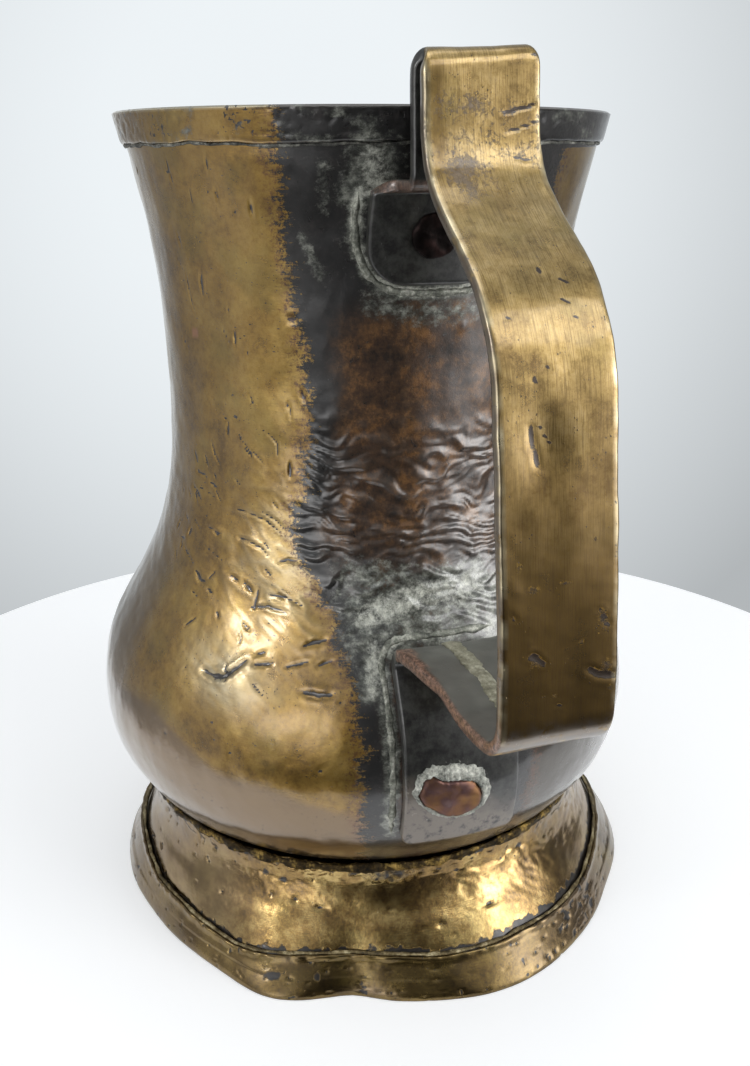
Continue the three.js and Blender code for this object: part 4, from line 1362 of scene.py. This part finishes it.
def make_seam():
    """The rough line of solder along the middle of the strap's inner face."""
    path = strap_path()
    first = np.argmax((path[:, 0] > FOLD["tip"][0] + 0.6) & (path[:, 1] > 70))
    last = np.argmax((path[:, 1] > 150) & (path[:, 0] > 56))
    path = resample(path[first:last], SEAM_ROWS)
    x0, z0, thick = path.T[[0, 1, 5], :, None]
    nx, nz = outward(path[:, :2]).T[..., None]
    along = lengths(path[:, :2])[:, None]
    swing = circle(SEAM_COLUMNS)
    across, up = np.cos(swing), np.sin(swing)
    wide = 1.6 + 0.3 * NOISE.layers(along / 3, 1.5, 0, 3)
    wide = wide * np.sqrt(smooth(0, 2.5, along))
    rough = 1 + 0.3 * NOISE.layers(along / 1.2, across, up, 2)
    side = -1.35 + 0.4 * NOISE.at(along / 14, 2.5, 0) + wide * across * rough
    depth = -thick - np.maximum(up, -0.15) * 0.45 * rough
    x = x0 + nx * depth
    points = np.stack([x, side, twist(x, side, z0 + nz * depth)], -1)
    make_piece("strap_seam_bead", points, capped_faces(*side.shape), SEAM_SOLDER,
               "handle_seam_solder")


# Rivets
def on_ear(side, height_up, rivet, lift):
    """A place above the ear: side and height from the rivet's middle, lift from the wall."""
    z = rivet["z"] + height_up * wall_normal(rivet["z"])[0]
    return off_wall((rivet["side"] + side) / girth(z), z, lift)


# Edges of the rivets' heads and of the solder around the lower one: degrees from the
# right, radius
LOWER_HEAD = [
    (-180, 5.2), (-169, 4), (-150, 3.3), (-126, 3), (-83, 3.2), (-60, 3.7), (-42, 4.2), (-27, 5.1),
    (-15, 5.6), (3, 5.8), (20, 5.6), (35, 5.1), (52, 4.6), (74, 4), (100, 3.9), (114, 4.6),
    (124, 6.4), (138, 6.8), (149, 6.5), (163, 6.5), (172, 5.8), (180, 5.2)]
SOLDER_RING = [
    (-180, 6.3), (-171, 5.6), (-148, 4.6), (-116, 4), (-79, 4.3), (-53, 5.4), (-32, 6.6),
    (-11, 7.6), (10, 7.8), (43, 7.7), (78, 7), (101, 6.9), (115, 7.6), (125, 8.2), (138, 8.2),
    (152, 7.9), (173, 6.8), (180, 6.3)]
UPPER_HEAD = [(-180, 3.9), (180, 3.9)]


def rim_reach(swing, edge, seed):
    """How far a ragged edge, given by its corners, lies from the middle."""
    turn = (np.degrees(swing) + 180) % 360 - 180
    ragged = 1 + 0.04 * NOISE.layers(np.cos(swing) * 2.4 + seed, np.sin(swing) * 2.4, 0, 3)
    return between(edge, turn) * ragged


def make_rivet(name, rivet, edge, node, material, seed):
    """A hammered head with a shank through ear and wall and a clenched inside end."""
    swing = circle(RIVET_COLUMNS)
    outline = rim_reach(swing, edge, seed)
    base = STRAP_THICKNESS + SEAT + 0.05
    clench = -(WALL + 1.3)
    rings = [(0.3, clench - 1.2), (2.8, clench - 0.9), (4, clench - 0.1), (3.6, clench),
             (2.4, clench), (2.4, base)]
    head = [(1, 0), (1.02, 0.2), (0.99, 0.5), (0.94, 0.72), (0.86, 0.85), (0.75, 0.92),
            (0.62, 0.96), (0.48, 1), (0.34, 1), (0.2, 1), (0.06, 1)]
    for share, lift in head:
        x, y = share * outline * np.cos(swing), share * outline * np.sin(swing)
        dents = 0.3 * NOISE.at(x / 3.2 + seed, y / 2.6, 1.1)
        dents = dents + 0.1 * NOISE.at(x / 1.2, y / 1.2, seed)
        rings.append((share * outline, base + lift + dents * (share < 0.97) - 0.05 * y * share))
    points = [on_ear(radius * np.cos(swing), radius * np.sin(swing), rivet, lift)
              for radius, lift in rings]
    faces = capped_faces(len(rings), len(swing))
    make_piece(name, np.array(points), faces, material, node)


def make_rivet_solder():
    """The ragged ring of solder around the lower rivet's head."""
    swing = circle(RING_COLUMNS)
    inner = rim_reach(swing, LOWER_HEAD, 2) * 1.03
    outer = rim_reach(swing, SOLDER_RING, 5)
    outer = outer + 0.5 * NOISE.layers(np.cos(swing) * 5, np.sin(swing) * 5, 5, 4)
    outer = np.maximum(outer, inner + 0.4)
    base = STRAP_THICKNESS + SEAT - 0.05
    strong = 0.35 + 0.65 * smooth(-0.6, 0.7, np.sin(swing))
    section = [(-0.06, 0), (-0.03, 0.7), (0.08, 1.05), (0.2, 1.1), (0.35, 0.85), (0.5, 0.6),
               (0.65, 0.4), (0.82, 0.2), (1, 0.03), (1, -0.1), (0.4, -0.1)]
    rows = []
    for share, lift in section:
        radius = inner + share * (outer - inner)
        x, y = radius * np.cos(swing), radius * np.sin(swing)
        lumps = np.clip(1 + 0.7 * NOISE.layers(x / 1.1, y / 1.1, 2.2, 3), 0.2, 1.7)
        rows.append(on_ear(x, y, LOWER_RIVET, base + lift * strong * lumps))
    make_piece("lower_rivet_bead", np.array(rows), ring_faces(len(rows), len(swing)),
               RING_SOLDER, "lower_rivet_solder")


make_body()
make_rim_band()
make_foot()
make_beads()
make_strap()
make_seam()
make_rivet("lower_rivet_head", LOWER_RIVET, LOWER_HEAD, "lower_rivet", LOWER_COPPER, 2)
make_rivet("upper_rivet_head", UPPER_RIVET, UPPER_HEAD, "upper_rivet", UPPER_COPPER, 4)
make_rivet_solder()
for kept, kept_material in (("floor_disc", INSIDE_BRASS), ("upper_rove", UPPER_COPPER),
                            ("lower_rove", UPPER_COPPER)):
    materials = frame["nodes"][kept].data.materials
    materials.clear()
    materials.append(kept_material)


# Camera
def from_camera(turn, reach, height):
    """A place by its angle to the right of the camera's side of the axis, in metres."""
    angle = math.radians(turn - HANDLE_TURN)
    return Vector((AXIS[0] + reach * math.cos(angle), AXIS[1] + reach * math.sin(angle), height))


def make_camera():
    handle = math.radians(HANDLE_TURN)
    yaw, pitch = math.radians(CAMERA["yaw"]), math.radians(CAMERA["pitch"])
    near = Vector((math.cos(handle), -math.sin(handle), 0))
    right = Vector((math.sin(handle), math.cos(handle), 0))
    above = Vector((0, 0, 1))
    ahead = -near * math.cos(yaw) + right * math.sin(yaw)
    side = right * math.cos(yaw) + near * math.sin(yaw)
    forward = ahead * math.cos(pitch) - above * math.sin(pitch)
    up = ahead * math.sin(pitch) + above * math.cos(pitch)
    data = bpy.data.cameras.new("camera")
    data.sensor_fit = "VERTICAL"
    data.sensor_height = SENSOR
    data.lens = FOCAL_PIXELS / FRAME_PIXELS * SENSOR
    data.clip_start, data.clip_end = 0.01, 20
    camera = new_object("camera", data)
    turn = Matrix((side, up, -forward)).transposed().to_4x4()
    place = from_camera(0, CAMERA["reach"] * MM, CAMERA["height"] * MM)
    camera.matrix_world = Matrix.Translation(place) @ turn
    bpy.context.scene.camera = camera


# Studio
def make_table():
    """The round white table top, with a softened edge."""
    radius, edge, low = TABLE["radius"], TABLE["edge"], -TABLE["thickness"]
    rows = [(0.01, 0), (radius - edge, 0), (radius - 0.4, -0.4), (radius, -edge),
            (radius, low), (0.01, low)]
    points = revolve(np.array(rows), np.linspace(-180, 180, TABLE_COLUMNS, endpoint=False))
    points = points + [TABLE["x"], TABLE["y"], -0.15]
    faces = [corners[::-1] for corners in capped_faces(len(rows), TABLE_COLUMNS)]
    mesh = new_mesh("table_top", points, faces, {})
    shade = new_shade("table_white")
    rays = shade.new("LightPath").outputs
    camera, glossy, through = (
        Field(shade, rays[f"Is {kind} Ray"]) for kind in ("Camera", "Glossy", "Transmission"))
    shade.fill(shade.shader, {
        "Base Color": (0.77, 0.775, 0.785, 1), "Roughness": 0.5,
        "Emission Color": (0.93, 0.95, 0.97, 1),
        "Emission Strength": (camera | glossy | through) * 0.42})
    mesh.materials.append(shade.owner)
    new_object("table_top", mesh)


# Brightness of the room in front of the vessel: degrees to the right, rise, radiance
ROOM = [
    (-71, -24, 0.75), (-72, -14, 0.55), (-122, -12, 0.36), (-130, -10, 0.3), (-110, -12, 0.36),
    (-61, -12, 0.45), (-47, -17, 0.18), (-25, -13, 0.02), (-25, -19, 0.05), (0, -20, 0.07),
    (47, -17, 0.12), (47, -5, 0.25), (46, 6, 0.35), (45, 16, 0.4), (47, 32, 0.95), (66, -12, 0.4),
    (62, 4, 8), (64, 15, 8), (86, -6, 0.1), (88, 12, 0.15), (100, -35, 0.08), (100, -10, 0.2),
    (120, -10, 0.25), (-121, 0, 0.28), (-85, 2, 0.38), (-31, 4, 4), (-39, 19, 0.1), (-54, 28, 3),
    (-28, 28, 0.9), (-51, 10, 0.8), (0, 6, 0.03), (14, 0, 0.02), (16, 14, 0.05), (30, 2, 0.1),
    (0, 32, 0.4), (80, 30, 0.8), (-80, 25, 0.6), (-100, 16, 0.36), (110, 20, 0.4), (-49, -42, 0.3),
    (-15, -40, 0.07), (15, -40, 0.07), (50, -40, 0.12)]


def make_flag():
    """A curved screen around the camera, as bright as the room that the metal mirrors."""
    turn, rise = np.meshgrid(np.linspace(-150, 150, 100), np.linspace(-62, 40, 35))
    angle = np.radians(rise)
    points = around(turn - HANDLE_TURN, FLAG["reach"] * np.cos(angle),
                    FLAG["height"] + FLAG["reach"] * np.sin(angle))
    weights = [hump(np.hypot(turn - side, rise - up), 0, FLAG["blur"]) + 1e-7
               for side, up, _ in ROOM]
    level = sum(weight * spot[2] for weight, spot in zip(weights, ROOM)) / sum(weights)
    cover = (1 - smooth(126, 148, np.abs(turn))) * (1 - smooth(24, 39, rise))
    faces = grid_faces(*turn.shape, wrap=False)
    mesh = new_mesh("studio_flag", points, faces, {"cover": cover, "glow": level})
    shade = new_shade("studio_flag")
    shade.nodes.remove(shade.shader)
    clear = shade.fill(shade.new("BsdfTransparent"), {})
    glow = shade.fill(shade.new("Emission"), {"Strength": shade.mark("glow")})
    both = shade.fill(shade.new("MixShader"), {0: shade.mark("cover"), 1: clear, 2: glow})
    shade.links.new(both.socket, shade.nodes["Material Output"].inputs["Surface"])
    mesh.materials.append(shade.owner)
    flag = new_object("studio_flag", mesh)
    flag.visible_camera = False


def make_light(name, turn, rise, reach, size, radiance):
    """A soft box seen from the vessel at an angle and a rise, as bright as radiance."""
    data = bpy.data.lights.new(name, "AREA")
    data.shape = "RECTANGLE"
    data.size, data.size_y = size
    data.energy = radiance * math.pi * size[0] * size[1]
    light = new_object(name, data)
    rise = math.radians(rise)
    start = from_camera(turn, reach * math.cos(rise), LIGHT_AIM + reach * math.sin(rise))
    light.location = start
    aim = Vector((*AXIS[:2], LIGHT_AIM)) - start
    light.rotation_euler = aim.to_track_quat("-Z", "Y").to_euler()
    light.visible_camera = False


def make_world():
    """A pale backdrop, brightest behind the vessel's left shoulder."""
    shade = Shade(bpy.data.worlds.new("studio"))
    node = shade.new("VectorMath")
    node.operation = "DOT_PRODUCT"
    bright = from_camera(3.8, -1, 0) - from_camera(0, 0, 0) + Vector((0, 0, 0.005))
    view = Field(shade, shade.coords["Generated"])
    aim = shade.fill(node, {0: view, 1: bright.normalized()}, "Value")
    stops = [(0.86, 0.47), (0.92, 0.66), (0.96, 0.8), (0.99, 0.9)]
    color = aim.ramp(*[(position, (0.95 * level, level, 1.03 * level, 1))
                       for position, level in stops])
    shade.fill(shade.shader, {"Color": color, "Strength": 1})
    bpy.context.scene.world = shade.owner


make_camera()
make_table()
make_flag()
make_light("left_softbox", -54, 28, 0.62, (0.1, 0.1), 9)
make_light("right_softbox", 47, 43, 0.62, (0.22, 0.2), 3)
make_light("top_softbox", 0, 84, 0.8, (0.5, 0.5), 1.7)
make_world()
bpy.context.scene.view_settings.view_transform = "Standard"
